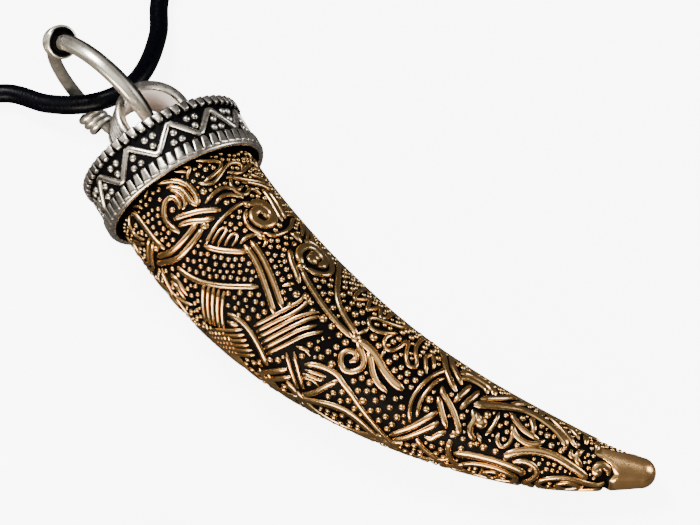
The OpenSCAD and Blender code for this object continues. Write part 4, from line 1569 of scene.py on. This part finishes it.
@dataclass
class Clasp:
    """The plain barrel clasp."""

    at: tuple[float, float, float] = (52.4, -22.0, 2.2)
    diameter: float = 4.4
    length: float = 12.0
    centre_r: float = 0.02
    bevel: float = 0.22
    segments: int = 64
    # A groove's depth and its half widths at its foot and at its top, and where along the barrel they lie
    groove: tuple[float, float, float] = (0.25, 0.2, 0.25)
    grooves_at: tuple[float, float] = (0.25, 0.75)

    def build(self) -> bpy.types.Object:
        """Turns the barrel, with rounded ends and two grooves."""
        r, (deep, foot, top) = self.diameter / 2, self.groove
        outline = [(self.centre_r, 0.0), (r, 0.0)]
        for share in self.grooves_at:
            middle = self.length * share
            for side, off in ((r, -top), (r - deep, -foot), (r - deep, foot), (r, top)):
                outline.append((side, middle + off))
        outline += [(r, self.length), (self.centre_r, self.length)]
        points, faces = revolve(soften(outline, self.bevel), self.segments)
        place = Place(self.at + CENTRED, turn("X", -90))
        clasp = mesh_piece("barrel_clasp", points, faces, place, Finish.BARREL)
        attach(clasp, "root")
        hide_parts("clasp")
        return clasp


# Studio


@dataclass(frozen=True)
class SoftBox:
    """A large area light."""

    name: str
    at: tuple[float, float, float]
    size: tuple[float, float]
    watts: float
    tint: tuple[float, float, float] = (1.0, 1.0, 1.0)

    def build(self, target: tuple[float, float, float]) -> None:
        """Hangs the light so that it faces the target."""
        data = bpy.data.lights.new(self.name, "AREA")
        data.shape, data.size, data.size_y = "RECTANGLE", self.size[0] * MM, self.size[1] * MM
        data.energy, data.color = self.watts, self.tint
        light = stand(self.name, data)
        light.visible_camera = False
        light.location = Vector(self.at) * MM
        light.rotation_euler = (Vector(self.at) - Vector(target)).to_track_quat("Z", "Y").to_euler()


@dataclass
class Studio:
    """The pale floor and its soft lights."""

    reach: float = 1500.0
    floor_h: float = -0.02
    glow: float = 0.1
    target: tuple[float, float, float] = (0.0, 0.0, 5.0)
    boxes: tuple = (
        SoftBox("key", (-200, 160, 420), (160, 160), 3.6),
        SoftBox("front", (-130, -330, 90), (380, 110), 3.0, (1.0, 0.88, 0.74)),
        SoftBox("overhead", (20, -180, 520), (520, 420), 0.7),
        SoftBox("right", (380, 60, 160), (160, 220), 1.2),
        SoftBox("left", (-400, 40, 190), (200, 260), 0.25, (1.0, 0.95, 0.88)),
    )

    def build(self) -> None:
        """Lays the floor, hangs the lights and sets the glow all round."""
        r, h = self.reach * MM, self.floor_h * MM
        mesh = bpy.data.meshes.new("floor")
        mesh.from_pydata([(-r, -r, h), (r, -r, h), (r, r, h), (-r, r, h)], [], [(0, 1, 2, 3)])
        floor = stand("floor", mesh)
        mesh.materials.append(finish_of(Finish.FLOOR))
        floor.visible_glossy = floor.visible_diffuse = False
        for box in self.boxes:
            box.build(self.target)
        world = bpy.data.worlds.new("studio")
        world.use_nodes = True
        world.node_tree.nodes["Background"].inputs[0].default_value = (1.0, 1.0, 1.0, 1.0)
        world.node_tree.nodes["Background"].inputs[1].default_value = self.glow
        bpy.context.scene.world = world


def main() -> None:
    """Builds the scene, piece after piece, and reports each."""
    logging.basicConfig(level=logging.INFO, format="%(name)s: %(message)s")
    View().build()
    clasp = Clasp().build()
    made = [clasp, NeckCord().build(clasp)]
    made += Cap().build() + Ring().build() + Fang().build()
    Studio().build()
    for piece in made:
        log.info("%s: %d points, %d faces", piece.name, len(piece.data.vertices), len(piece.data.polygons))


if __name__ == "__main__":
    main()
